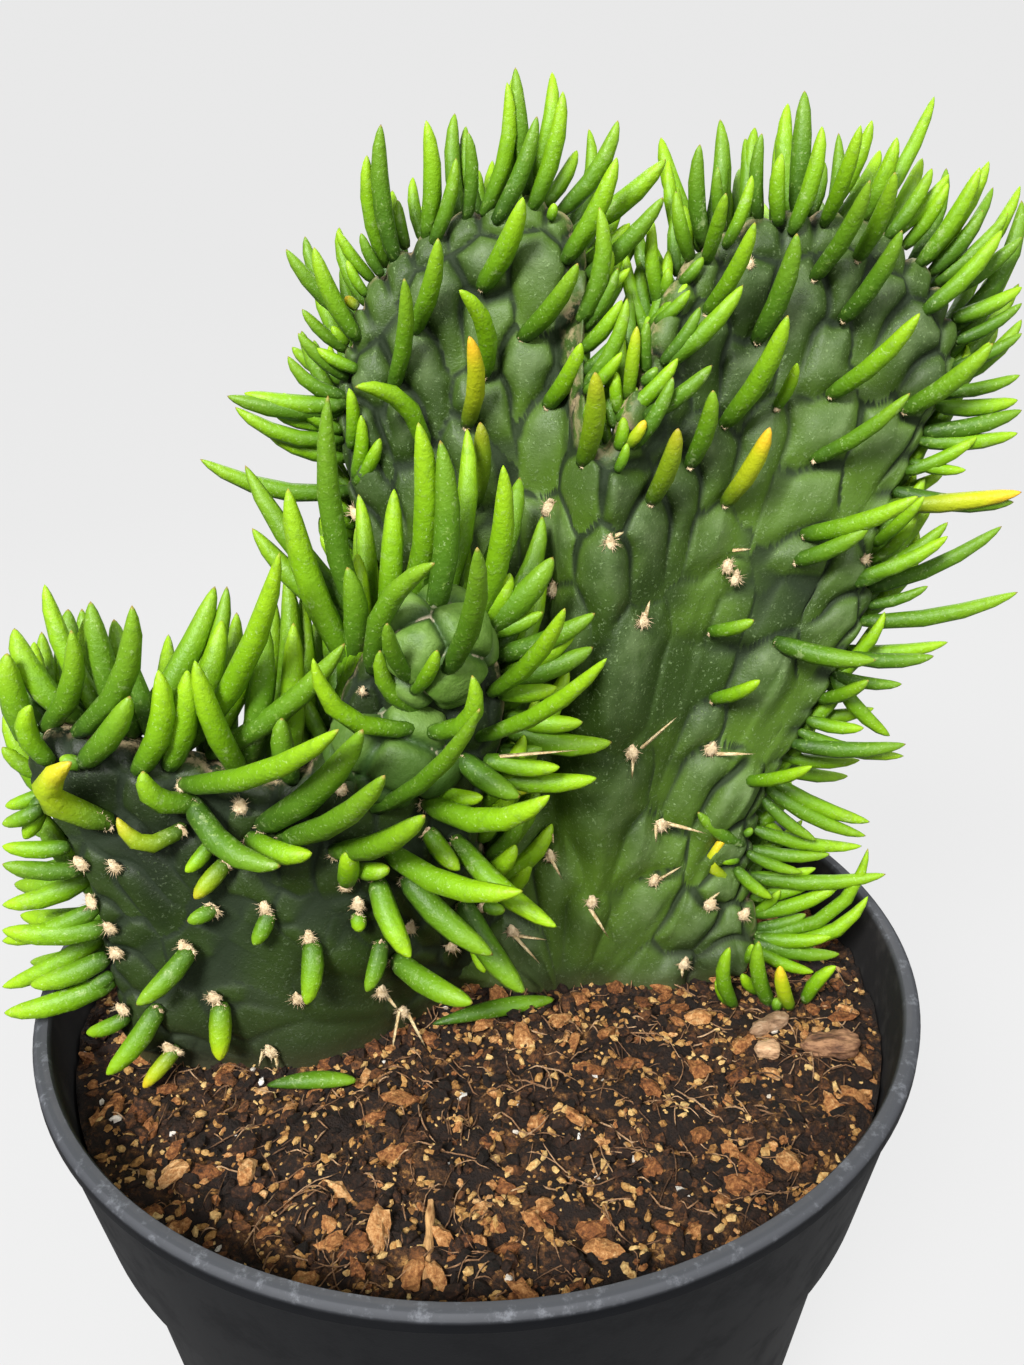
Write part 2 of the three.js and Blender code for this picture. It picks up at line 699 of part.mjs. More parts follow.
// The soil fills the pot to a little below the rim, with a plain hole for each stem.
function makeSoil(crests) {
  const collarFoot = pot.height - pot.collarHeight;
  const slope = (pot.bodyTop - pot.bottomRadius) / collarFoot;
  const low = pot.floor + gap;
  const levels = [
    { z: low, radius: pot.bottomRadius - pot.wall + slope * low - gap },
    { z: collarFoot - 1.2, radius: pot.bodyTop - pot.wall - gap - 0.1 },
    { z: collarFoot + 2.6, radius: pot.collarBottom - pot.wall - gap - 0.1 },
  ];
  const collarShare = (soil.level - collarFoot) / pot.collarHeight;
  const topRadius = mix(pot.collarBottom, pot.collarTop, collarShare) - pot.wall - 0.9;
  const ring = (radius, height) => {
    const points = [];
    for (let j = 0; j < pot.sides; j += 1) {
      const turn = (2 * Math.PI * j) / pot.sides;
      const x = radius * Math.cos(turn);
      const y = radius * Math.sin(turn);
      points.push(new THREE.Vector3(x, y, height ?? soilTop(x, y)));
    }
    return points;
  };
  const rings = levels.map((level) => ring(level.radius, level.z));
  for (let i = soil.rings; i > 0; i -= 1) rings.push(ring((topRadius * i) / soil.rings));
  const geometry = solidFromRings(rings);
  let solid = toSolid(geometry);
  for (const crest of crests) solid = solid.subtract(stemHole(crest));
  return mainBody(solid);
}

// A loose piece let down onto the soil until it lies a gap above it.
function seatOn(ground, piece) {
  let free = 12;
  let caught = -6;
  for (let n = 0; n < 14; n += 1) {
    const half = (free + caught) / 2;
    if (piece.translate([0, 0, half]).intersect(ground).isEmpty()) free = half;
    else caught = half;
  }
  return piece.translate([0, 0, free + gap]);
}

// An uneven lump of bark or stone.
function lumpSolid({ place, radii, turn, set }) {
  const ball = new THREE.IcosahedronGeometry(1, 1);
  ball.deleteAttribute("normal");
  ball.deleteAttribute("uv");
  const geometry = mergeVertices(ball);
  const at = geometry.attributes.position;
  for (let i = 0; i < at.count; i += 1) {
    const size = mix(0.82, 1.1, draw(set, i));
    const [x, y, z] = radii.map((radius) => radius * size);
    at.setXYZ(i, at.getX(i) * x, at.getY(i) * y, at.getZ(i) * z);
  }
  geometry.rotateZ(THREE.MathUtils.degToRad(turn));
  geometry.translate(place[0], place[1], soil.level + radii[2]);
  return toSolid(geometry);
}

// A leaf that dropped, lying from one place on the soil to another.
function fallenLeafSolid({ from, to, thickness }) {
  const start = new THREE.Vector3(...from, soil.level + thickness / 2);
  const end = new THREE.Vector3(...to, soil.level + thickness / 2);
  const along = end.clone().sub(start);
  const curve = new THREE.QuadraticBezierCurve3(
    start,
    start.clone().addScaledVector(along, 0.5).add(new THREE.Vector3(0, 0, 1.2)),
    end,
  );
  const section = new THREE.Shape();
  section.absarc(0, 0, thickness / 2, 0, 2 * Math.PI);
  const options = { steps: 8, curveSegments: 4, extrudePath: curve, bevelEnabled: false };
  const geometry = new THREE.ExtrudeGeometry(section, options);
  const at = geometry.attributes.position;
  const p = new THREE.Vector3();
  for (let i = 0; i < at.count; i += 1) {
    p.fromBufferAttribute(at, i);
    const share = Math.min(1, Math.max(0, p.clone().sub(start).dot(along) / along.lengthSq()));
    const middle = curve.getPoint(share);
    const taper = Math.max(0.25, Math.sin(Math.PI * mix(0.12, 0.97, share)) ** 0.6);
    p.sub(middle).multiplyScalar(taper).add(middle);
    at.setXYZ(i, p.x, p.y, p.z);
  }
  return toSolid(geometry);
}

function twigSolid({ from, to, thickness }) {
  const start = new THREE.Vector3(...from, soil.level + thickness);
  const end = new THREE.Vector3(...to, soil.level + thickness);
  const geometry = new THREE.CylinderGeometry(thickness / 2, thickness * 0.4, start.distanceTo(end), 6, 1);
  const heading = end.clone().sub(start).normalize();
  geometry.applyQuaternion(new THREE.Quaternion().setFromUnitVectors(new THREE.Vector3(0, 1, 0), heading));
  const middle = middleOf([start, end]);
  geometry.translate(middle.x, middle.y, middle.z);
  return toSolid(geometry);
}

// The plant grew as one piece: two crests, the head between them, their leaves and spines.
function makeCactus(big, low) {
  const stems = [
    crestSolid(big),
    crestSolid(low),
    headSolid(knob, 1, 14, 2),
    headSolid(knob.tiers, 3, 12, 2),
  ];
  const bigPoints = frontPoints(big);
  const lowPoints = frontPoints(low);
  const leaves = [
    ...listedLeaves(bigPoints, bigCrestLeaves),
    ...listedLeaves(lowPoints, lowCrestLeaves),
    ...edgeLeaves(big),
    ...edgeLeaves(low),
    ...backLeaves(big),
    ...backLeaves(low),
  ];
  const spines = spinePlaces.map(([x, z, heading]) => {
    const { point } = rootOnFront(bigPoints, x, z);
    return spineSolid(point, headingFrom(heading, 40));
  });
  const stem = wasm.Manifold.union(stems);
  const grown = wasm.Manifold.union([stem, ...leaves.map(leafSolid), ...spines]);
  const whole = mainBody(grown).asOriginal().simplify(weldWithin);
  return named("crested_cactus", mainBody(whole), 0x3c7a2a, 0.5);
}

const big = new Crest(bigCrest, 1);
const low = new Crest(lowCrest, 2);

const ground = makeSoil([big, low]);

const plant = new THREE.Group();
plant.add(makePot());
plant.add(named("soil", ground, 0x3a2418, 0.95));
plant.add(makeCactus(big, low));
for (const piece of lumpPieces) {
  plant.add(named(piece.name, seatOn(ground, lumpSolid(piece)), piece.colour, 0.9));
}
for (const piece of fallenLeaves) {
  plant.add(named(piece.name, seatOn(ground, fallenLeafSolid(piece)), 0x3f6a24, 0.5));
}
plant.add(named("twig", seatOn(ground, twigSolid(twig)), 0x7a4a32, 0.85));

export default plant;
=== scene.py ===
# Looks for a crested eves needle cactus in a round black nursery pot.
# Sizes are in millimetres while a piece is worked out, and in metres once it is a mesh.
import math
import bpy
import numpy as np
from mathutils import Matrix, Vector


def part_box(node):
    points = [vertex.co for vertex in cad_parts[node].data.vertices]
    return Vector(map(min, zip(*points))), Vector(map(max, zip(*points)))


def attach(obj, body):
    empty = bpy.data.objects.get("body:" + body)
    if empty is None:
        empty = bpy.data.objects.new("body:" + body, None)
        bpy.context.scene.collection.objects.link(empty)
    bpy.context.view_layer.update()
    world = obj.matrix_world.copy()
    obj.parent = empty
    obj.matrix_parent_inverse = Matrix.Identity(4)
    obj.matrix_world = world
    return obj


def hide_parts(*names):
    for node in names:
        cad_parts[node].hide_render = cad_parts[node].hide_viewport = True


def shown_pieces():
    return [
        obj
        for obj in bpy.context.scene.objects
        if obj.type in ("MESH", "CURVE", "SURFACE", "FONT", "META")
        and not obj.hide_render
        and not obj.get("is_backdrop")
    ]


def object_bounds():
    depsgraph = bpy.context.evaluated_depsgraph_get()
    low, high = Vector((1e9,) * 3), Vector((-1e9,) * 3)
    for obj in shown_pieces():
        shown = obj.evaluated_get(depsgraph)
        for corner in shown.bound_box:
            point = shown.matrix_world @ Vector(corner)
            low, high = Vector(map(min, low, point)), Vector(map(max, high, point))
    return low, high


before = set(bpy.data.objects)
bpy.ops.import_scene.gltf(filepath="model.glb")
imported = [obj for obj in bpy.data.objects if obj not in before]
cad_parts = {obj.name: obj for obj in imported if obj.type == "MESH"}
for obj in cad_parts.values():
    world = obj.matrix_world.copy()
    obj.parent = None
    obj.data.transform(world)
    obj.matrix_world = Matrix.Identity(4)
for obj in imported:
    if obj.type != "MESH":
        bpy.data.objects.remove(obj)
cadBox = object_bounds()

# shared helpers

def draw(setNumber, n):  # repeatable draws between 0 and 1
    wave = np.sin(setNumber * 127.1 + np.asarray(n, float) * 311.7) * 43758.5453
    return wave - np.floor(wave)


def ease(share):
    x = np.clip(share, 0, 1)
    return x * x * (3 - 2 * x)


def unit(v):
    return v / np.maximum(np.linalg.norm(v, axis=-1, keepdims=True), 1e-9)


def smoothNoise(points, size, seed):  # soft random field between -1 and 1
    p = np.asarray(points, float) / size + 37.3
    cell = np.floor(p).astype(int)
    w = p - cell
    w = w * w * (3 - 2 * w)
    total = 0
    for dx in (0, 1):
        for dy in (0, 1):
            for dz in (0, 1):
                corner = (cell[..., 0] + dx) * 1.0 + (cell[..., 1] + dy) * 57.0 + (cell[..., 2] + dz) * 113.0
                share = np.abs(1 - dx - w[..., 0]) * np.abs(1 - dy - w[..., 1]) * np.abs(1 - dz - w[..., 2])
                total = total + share * draw(seed, corner * 0.137)
    return 2 * total - 1


def deselectAll():
    if bpy.context.object and bpy.context.object.mode != "OBJECT":
        bpy.ops.object.mode_set(mode="OBJECT")
    bpy.ops.object.select_all(action="DESELECT")


def ball(name=None, fine=None, segments=8, rings=8):  # an ico sphere where it has a fineness, or a uv sphere
    deselectAll()
    if fine:
        bpy.ops.mesh.primitive_ico_sphere_add(subdivisions=fine, radius=1)
    else:
        bpy.ops.mesh.primitive_uv_sphere_add(segments=segments, ring_count=rings, radius=1)
    piece = bpy.context.object
    if name:
        piece.name = piece.data.name = name
    return piece, readPoints(piece)


def upAndAround(points):  # share of the way up a sphere, and the turn round its axis
    return np.arccos(np.clip(-points[:, 2], -1, 1)) / math.pi, np.arctan2(points[:, 1], points[:, 0])


def readPoints(piece):
    points = np.zeros(len(piece.data.vertices) * 3)
    piece.data.vertices.foreach_get("co", points)
    return points.reshape(-1, 3)


def writePoints(piece, points):  # points in millimetres
    piece.data.vertices.foreach_set("co", (np.asarray(points, float) / 1000).ravel())
    piece.data.update()


def paintPoints(piece, name, values):
    layer = piece.data.attributes.new(name, "FLOAT", "POINT")
    layer.data.foreach_set("value", np.asarray(values, np.float32).ravel())


def smooth(piece):
    piece.data.polygons.foreach_set("use_smooth", np.ones(len(piece.data.polygons), bool))
    piece.data.update()


def loft(name, points, layers=None, inwards=False):  # a grid moved to rows and columns of places
    rows, columns = points.shape[:2]
    deselectAll()
    bpy.ops.mesh.primitive_grid_add(x_subdivisions=columns - 1, y_subdivisions=rows - 1, size=1)
    piece = bpy.context.object
    piece.name = piece.data.name = name
    flat = readPoints(piece)
    column = np.rint((flat[:, 0] + 0.5) * (columns - 1)).astype(int)
    row = np.rint((flat[:, 1] + 0.5) * (rows - 1)).astype(int)
    writePoints(piece, points[row, column])
    for layer, values in (layers or {}).items():
        paintPoints(piece, layer, values[row, column])
    if inwards:
        piece.data.flip_normals()
    smooth(piece)
    return piece


def mergeDoubles(piece, within=0.002):
    deselectAll()
    bpy.context.view_layer.objects.active = piece
    piece.select_set(True)
    bpy.ops.object.mode_set(mode="EDIT")
    bpy.ops.mesh.select_all(action="SELECT")
    bpy.ops.mesh.remove_doubles(threshold=within / 1000)
    bpy.ops.mesh.normals_make_consistent(inside=False)
    bpy.ops.object.mode_set(mode="OBJECT")


def copies(name, model, places, layers=None):  # one modelled shape copied to many places, in one mesh
    count, size = places.shape[:2]
    source = model.data
    corners = np.zeros(len(source.loops), int)
    source.loops.foreach_get("vertex_index", corners)
    starts = np.zeros(len(source.polygons), int)
    source.polygons.foreach_get("loop_start", starts)
    mesh = bpy.data.meshes.new(name)
    mesh.vertices.add(count * size)
    mesh.loops.add(count * len(corners))
    mesh.polygons.add(count * len(starts))
    mesh.vertices.foreach_set("co", (places / 1000).ravel())
    shift = np.arange(count)[:, None]
    mesh.loops.foreach_set("vertex_index", (corners[None] + shift * size).ravel())
    mesh.polygons.foreach_set("loop_start", (starts[None] + shift * len(corners)).ravel())
    mesh.update(calc_edges=True)
    piece = bpy.data.objects.new(name, mesh)
    bpy.context.scene.collection.objects.link(piece)
    for layer, values in (layers or {}).items():
        values = np.asarray(values, float)
        paintPoints(piece, layer, np.repeat(values, size) if values.ndim == 1 else values)
    smooth(piece)
    bpy.data.objects.remove(model)
    return piece


def placeOn(piece, slot, finish, *nodes):
    piece.data.materials.clear()
    piece.data.materials.append(finish)
    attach(piece, "root")
    if nodes:
        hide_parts(*nodes)


# materials

def sums(operation, swapped=False):
    def work(self, other):
        pair = (other, self) if swapped else (self, other)
        return self.finish.add("ShaderNodeMath", {"operation": operation}, dict(enumerate(pair)))
    return work


class Value:  # a socket that can be used in sums
    __add__, __radd__ = sums("ADD"), sums("ADD", True)
    __sub__, __rsub__ = sums("SUBTRACT"), sums("SUBTRACT", True)
    __mul__, __rmul__ = sums("MULTIPLY"), sums("MULTIPLY", True)
    __pow__ = sums("POWER")
    least, most = sums("MINIMUM"), sums("MAXIMUM")

    def __init__(self, finish, socket):
        self.finish = finish
        self.socket = socket

    def between(self, low, high):  # 0 below low, 1 above high and a soft step between
        return self.finish.add(
            "ShaderNodeMapRange",
            {"interpolation_type": "SMOOTHSTEP"},
            {"Value": self, "From Min": low, "From Max": high},
        )


class Finish:  # a material made of nodes
    def __init__(self, name, **constants):
        self.material = bpy.data.materials.new(name)
        self.material.use_nodes = True
        self.tree = self.material.node_tree
        self.shader = self.tree.nodes["Principled BSDF"]
        for socket, value in constants.items():
            self.shader.inputs[socket.replace("_", " ")].default_value = value

    def add(self, kind, settings=None, sockets=None, output=0):
        node = self.tree.nodes.new(kind)
        for key, value in (settings or {}).items():
            if key == "stops":
                ramp = node.color_ramp.elements
                while len(ramp) < len(value):
                    ramp.new(0.5)
                for stop, (place, colour) in zip(ramp, value):
                    stop.position = place
                    stop.color = (*colour, 1)
            else:
                setattr(node, key, value)
        for key, value in (sockets or {}).items():
            if isinstance(value, Value):
                self.tree.links.new(value.socket, node.inputs[key])
            else:
                node.inputs[key].default_value = value
        return Value(self, node.outputs[output])

    def places(self):
        return self.add("ShaderNodeTexCoord", output=3)

    def axis(self, index):  # x, y or z of the place, in metres
        return self.add("ShaderNodeSeparateXYZ", None, {0: self.places()}, index)

    def layer(self, name):
        return self.add("ShaderNodeAttribute", {"attribute_name": name}, output=2)

    def noise(self, size, detail=3.0, rough=0.55, stretch=None):  # size of a spot in millimetres
        place = self.places()
        if stretch:
            place = self.add("ShaderNodeMapping", None, {"Vector": place, "Scale": stretch})
        sockets = {"Vector": place, "Scale": 1000 / size, "Detail": detail, "Roughness": rough}
        return self.add("ShaderNodeTexNoise", None, sockets)

    def mix(self, share, first, second):
        def rgba(colour):
            return colour if isinstance(colour, Value) else (*colour, 1)
        sockets = {0: share, 6: rgba(first), 7: rgba(second)}
        return self.add("ShaderNodeMix", {"data_type": "RGBA"}, sockets, 2)

    def ramp(self, share, stops):
        return self.add("ShaderNodeValToRGB", {"stops": stops}, {0: share})

    def finish(self, colour=None, roughness=None, height=None, depth=0.5, strength=1.0):
        links = self.tree.links
        if colour is not None:
            links.new(colour.socket, self.shader.inputs["Base Color"])
        if roughness is not None:
            links.new(roughness.socket, self.shader.inputs["Roughness"])
        if height is not None:
            sockets = {"Height": height, "Distance": depth / 1000, "Strength": strength}
            bump = self.add("ShaderNodeBump", None, sockets)
            links.new(bump.socket, self.shader.inputs["Normal"])
        return self.material


# camera, floor and light

view = {
    "place": (6.3, -159.5, 225.0),
    "down": 22.0,
    "roll": -0.75,
    "focal": 1050.0,  # in pixels of the picture
    "picture": (1024, 1365),
    "sensor": 36,
    "nearest": 0.005,
}


def makeCamera():
    camera = bpy.data.objects.new("camera", bpy.data.cameras.new("camera"))
    bpy.context.scene.collection.objects.link(camera)
    camera.data.sensor_width = view["sensor"]
    camera.data.sensor_fit = "AUTO"
    camera.data.lens = view["sensor"] * view["focal"] / view["picture"][1]
    camera.data.clip_start = view["nearest"]
    camera.location = [c / 1000 for c in view["place"]]
    tilt = Matrix.Rotation(math.radians(90 - view["down"]), 3, "X")
    camera.rotation_euler = (tilt @ Matrix.Rotation(math.radians(view["roll"]), 3, "Z")).to_euler()
    bpy.context.scene.camera = camera


stage = {
    "flat": 900,
    "wall": 1500,
    "height": 1500,
    "steps": 24,
    "around": 97,
    "tone": 0.05,
    "glow": 0.77,
    "sky": 0.3,
    "aim": 0.15,  # height that the lamps look at, in metres
}
lamps = [
    {"place": (-0.4, -0.8, 0.9), "size": 0.36, "power": 27.0},
    {"place": (0.5, -0.7, 0.75), "size": 0.6, "power": 6.0},
    {"place": (0.1, 0.8, 0.8), "size": 0.8, "power": 6.0},
]


def makeStage():
    steps = np.linspace(0, 1, stage["steps"])
    curve = [(stage["flat"] * s, 0.0) for s in steps[1:stage["steps"] // 2] ** 1.5]
    for s in steps:
        turn = s * math.pi / 2
        reach = stage["wall"] - stage["flat"]
        curve.append((stage["flat"] + reach * math.sin(turn), reach * (1 - math.cos(turn))))
    curve.append((stage["wall"], stage["height"]))
    curve = np.array(curve)
    turn = np.linspace(0, 2 * math.pi, stage["around"])
    points = np.stack([
        curve[:, :1] * np.cos(turn), curve[:, :1] * np.sin(turn), curve[:, 1:] + 0 * turn,
    ], -1)
    floor = loft("studio_floor", points, inwards=True)
    finish = Finish("lit paper", Roughness=0.9, Specular_IOR_Level=0.1, Emission_Strength=stage["glow"])
    finish.shader.inputs["Base Color"].default_value = (stage["tone"],) * 3 + (1,)
    finish.shader.inputs["Emission Color"].default_value = (1, 1, 1, 1)
    floor.data.materials.append(finish.material)
    floor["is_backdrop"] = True
    floor.visible_diffuse = floor.visible_glossy = False  # the bright paper doesn't flatten the light
    for n, lamp in enumerate(lamps):
        light = bpy.data.lights.new(f"soft light {n}", "AREA")
        light.shape = "DISK"
        light.size = lamp["size"]
        light.energy = lamp["power"]
        holder = bpy.data.objects.new(light.name, light)
        bpy.context.scene.collection.objects.link(holder)
        holder.location = lamp["place"]
        aim = np.array([0, 0, stage["aim"]]) - np.array(lamp["place"])
        level = math.hypot(aim[0], aim[1])
        holder.rotation_euler = (math.atan2(level, -aim[2]), 0, math.atan2(aim[1], aim[0]) - math.pi / 2)
    world = bpy.data.worlds.new("studio")
    bpy.context.scene.world = world
    world.use_nodes = True
    world.node_tree.nodes["Background"].inputs["Color"].default_value = (1, 1, 1, 1)
    world.node_tree.nodes["Background"].inputs["Strength"].default_value = stage["sky"]
    bpy.context.scene.view_settings.view_transform = "Standard"


makeCamera()
makeStage()
print("camera, floor and light are set")

# pot

pot = {
    "sides": 160,
    "profile": [  # radius and height, from the bottom's middle up the outside and down the inside
        (54.5, 0), (56, 1.5), (67.4, 81.5), (69.9, 83), (74.3, 109), (75, 109.5), (75, 111.4), (74.3, 112),
        (72.8, 112), (72.3, 111), (68.6, 85.5), (65.7, 82), (54.62, 2.4),
    ],
    "holes": 8,
    "holeRadius": 5,
    "holeCircle": 36,
    "edge": 0.35,
    "rimTop": 112,
    "rimOut": 75,
    "rimIn": 72.8,
    "bodyIn": 68.1,
}


def makePot():
    deselectAll()
    bottom = pot["profile"][0][0] / 1000
    bpy.ops.mesh.primitive_circle_add(vertices=pot["sides"], radius=bottom, fill_type="NGON")
    piece = bpy.context.object
    piece.name = piece.data.name = "nursery_pot"
    bpy.ops.object.mode_set(mode="EDIT")
    for (wide, low), (nextWide, nextLow) in zip(pot["profile"], pot["profile"][1:]):
        bpy.ops.mesh.extrude_region_move(TRANSFORM_OT_translate={"value": (0, 0, (nextLow - low) / 1000)})
        grow = nextWide / wide
        bpy.ops.transform.resize(value=(grow, grow, 1), center_override=(0, 0, nextLow / 1000))
    bpy.ops.object.mode_set(mode="OBJECT")
    # the extruded face is the inner floor, so the outer one is put in and the shell is closed
    bpy.ops.object.mode_set(mode="EDIT")
    bpy.ops.mesh.select_all(action="DESELECT")
    bpy.ops.mesh.select_non_manifold()
    bpy.ops.mesh.edge_face_add()
    bpy.ops.mesh.select_all(action="SELECT")
    bpy.ops.mesh.normals_make_consistent(inside=False)
    bpy.ops.object.mode_set(mode="OBJECT")
    for n in range(pot["holes"]):
        turn = 2 * math.pi * (n + 0.5) / pot["holes"]
        out = pot["holeCircle"] / 1000
        place = (out * math.cos(turn), out * math.sin(turn), 0.001)
        wide = pot["holeRadius"] / 1000
        deselectAll()
        bpy.ops.mesh.primitive_cylinder_add(vertices=32, radius=wide, depth=0.012, location=place)
        drill = bpy.context.object
        bpy.context.view_layer.objects.active = piece
        cut = piece.modifiers.new("drain hole", "BOOLEAN")
        cut.operation = "DIFFERENCE"
        cut.object = drill
        bpy.ops.object.modifier_apply(modifier=cut.name)
        bpy.data.objects.remove(drill)
    deselectAll()
    piece.select_set(True)
    bpy.context.view_layer.objects.active = piece
    edge = piece.modifiers.new("worn edges", "BEVEL")
    edge.width = pot["edge"] / 1000
    edge.segments = 2
    edge.angle_limit = math.radians(28)
    bpy.ops.object.modifier_apply(modifier=edge.name)
    bpy.ops.object.shade_smooth_by_angle(angle=math.radians(32))
    return piece


def potFinish():
    f = Finish("black plastic", Specular_IOR_Level=0.14)
    x, y, z = f.axis(0), f.axis(1), f.axis(2)
    out = (x * x + y * y) ** 0.5
    top = z.between(0.1108, 0.1119)
    scuff = f.noise(3.2, 6, 0.75).between(0.52, 0.68)
    dust = f.noise(9, 5, 0.65).between(0.45, 0.75)
    streak = f.noise(3, 4, 0.7, (1, 1, 0.12)).between(0.5, 0.8)
    middle = (z - 0.085) * 0.157 + 0.0694  # half way through the wall, which leans out
    inside = (1 - (out - middle).between(-0.0002, 0.0002)) * z.between(0.085, 0.1)
    base = f.mix(dust * 0.3 + streak * 0.15, (0.003, 0.0034, 0.0045), (0.009, 0.0092, 0.01))
    base = f.mix(inside * (0.3 + dust * 0.6), base, (0.036, 0.033, 0.031))
    # the rim's top face is painted lighter: a painted highlight, made patchy by scuffs
    base = f.mix(top * (0.4 + scuff * 0.55), base, (0.13, 0.136, 0.15))
    rough = 0.46 + dust * 0.14 + top * 0.12 + inside * 0.25
    return f.finish(base, rough, f.noise(0.35, 2, 0.6), 0.03, 0.5)


placeOn(makePot(), "pot_plastic", potFinish(), "pot")
print("pot is made")

# soil

soil = {
    "level": 101,
    "mound": 1.2,
    "relief": 1.1,
    "calm": 9,
    "radius": 70.2,
    "rings": 100,
    "around": 260,
    "wall": [(70.2, 99), (68.3, 88), (68.1, 85.6), (65.3, 81.8), (54.4, 2.9), (54.2, 2.7)],
    "bottom": 2.7,
    "lumps": [(1.1, 5.5, 3), (0.8, 2.3, 4), (0.4, 1.1, 5)],  # height, size and seed of the noise
    "crumbsTo": 69.2,
    "wallAt": 70.0,
}


def soilTop(x, y):
    across = np.sin(x * 0.71 + 2.1 * np.sin(y * 0.43))
    along = np.sin(y * 0.83 + 1.7 * np.sin(x * 0.37 + 1))
    fromBig = np.hypot(np.maximum(0, np.abs(x - 20) - 28), np.maximum(0, np.abs(y - 5) - 11))
    fromLow = np.hypot(np.maximum(0, np.abs(x + 30) - 30), np.maximum(0, np.abs(y + 10) - 15))
    away = ease(np.minimum(fromBig, fromLow) / soil["calm"])
    mound = 1 - np.minimum(1, np.hypot(x, y) / 70) ** 2
    return soil["level"] + away * (soil["mound"] * mound + soil["relief"] * (across + along) / 2)


def soilFine(x, y):  # the soil's height with its crumbs
    flat = np.stack([x, y, 0 * x], -1)
    first, second, third = [high * smoothNoise(flat, size, seed) for high, size, seed in soil["lumps"]]
    return soilTop(x, y) + (first + second + third)


def makeSoil():
    turn = np.linspace(0, 2 * math.pi, soil["around"] + 1)
    radius = np.linspace(0, soil["radius"], soil["rings"])[:, None]
    x, y = radius * np.cos(turn), radius * np.sin(turn)
    rows = [np.stack([x, y, soilFine(x, y)], -1)]
    for wide, z in soil["wall"] + [(0, soil["bottom"])]:
        rows.append(np.stack([wide * np.cos(turn), wide * np.sin(turn), z + 0 * turn], -1)[None])
    points = np.concatenate(rows)
    piece = loft("potting_mix", points)
    mergeDoubles(piece)
    smooth(piece)
    return piece


def soilFinish():
    f = Finish("potting mix", Specular_IOR_Level=0.3)
    broad = f.noise(7, 5, 0.65)
    fine = f.noise(1.1, 4, 0.7)
    colour = f.ramp(broad * 0.55 + fine * 0.45, [
        (0.34, (0.004, 0.0025, 0.002)), (0.5, (0.014, 0.007, 0.004)),
        (0.58, (0.07, 0.03, 0.01)), (0.66, (0.3, 0.15, 0.045)),
    ])
    return f.finish(colour, 0.75 + fine * 0.2, fine + f.noise(0.5, 3, 0.7) * 0.6, 0.9, 1.0)


placeOn(makeSoil(), "soil_mix", soilFinish(), "soil")

crumbs = {
    "peat": {"count": 3000, "size": (0.45, 1.5), "flat": 0.75, "set": 61, "round": 1, "power": 1.8},
    "bark": {"count": 820, "size": (0.5, 2.2), "flat": 0.6, "set": 62, "round": 2, "power": 2.8},
    "grit": {"count": 5200, "size": (0.18, 0.85), "flat": 0.8, "set": 63, "round": 1, "power": 2.0},
    "perlite": {"count": 80, "size": (0.3, 0.8), "flat": 0.9, "set": 64, "round": 1, "power": 1.5},
}


def turned(points, a, b, c):  # points of each copy turned by three angles
    ca, sa, cb, sb, cc, sc = np.cos(a), np.sin(a), np.cos(b), np.sin(b), np.cos(c), np.sin(c)
    x, y, z = points[..., 0], points[..., 1], points[..., 2]
    y, z = ca * y - sa * z, sa * y + ca * z
    x, z = cb * x + sb * z, -sb * x + cb * z
    x, y = cc * x - sc * y, sc * x + cc * y
    return np.stack([x, y, z], -1)


def makeCrumbs(kind, spec):
    model, shape = ball(fine=spec["round"])
    n = np.arange(spec["count"])
    s = spec["set"]
    reach = soil["crumbsTo"] * np.sqrt(draw(s, n))
    turn = 2 * math.pi * draw(s + 10, n)
    x, y = reach * np.cos(turn), reach * np.sin(turn)
    low, high = spec["size"]
    size = low + (high - low) * draw(s + 20, n) ** spec["power"]
    uneven = 0.65 + 0.6 * draw(s + 30, np.arange(len(shape))[None] + 13.7 * n[:, None])
    stretch = np.stack([1 + 0.7 * draw(s + 40, n), 0.6 + 0.4 * draw(s + 41, n), spec["flat"] + 0 * n], -1)
    points = shape[None] * uneven[..., None] * stretch[:, None] * size[:, None, None]
    tilt = 0.9 * (draw(s + 50, n) - 0.5)
    roll = 0.9 * (draw(s + 51, n) - 0.5)
    points = turned(points, tilt[:, None], roll[:, None], 2 * math.pi * draw(s + 52, n)[:, None])
    sink = size * spec["flat"] * (0.25 + 0.5 * draw(s + 60, n))
    points = points + np.stack([x, y, soilFine(x, y) + sink * 0.6], -1)[:, None]
    outside = np.hypot(points[..., 0], points[..., 1])
    squeeze = np.minimum(1, soil["wallAt"] / np.maximum(outside, 1e-6))
    points[..., :2] *= squeeze[..., None]
    piece = copies(f"soil_{kind}", model, points, {"tone": draw(s + 70, n)})
    piece.data.polygons.foreach_set("use_smooth", np.zeros(len(piece.data.polygons), bool))
    return piece


def crumbFinish(name, stops, fine, rough):
    f = Finish(name, Specular_IOR_Level=0.3)
    shade = f.noise(fine, 5, 0.75)
    patch = f.noise(13, 3, 0.6) - 0.5  # warmer and darker clumps
    colour = f.ramp(f.layer("tone") * 0.5 + (shade - 0.5) * 1.5 + patch * 0.9 + 0.2, stops)
    return f.finish(colour, rough + shade * 0.15, shade, 0.6, 1.0)


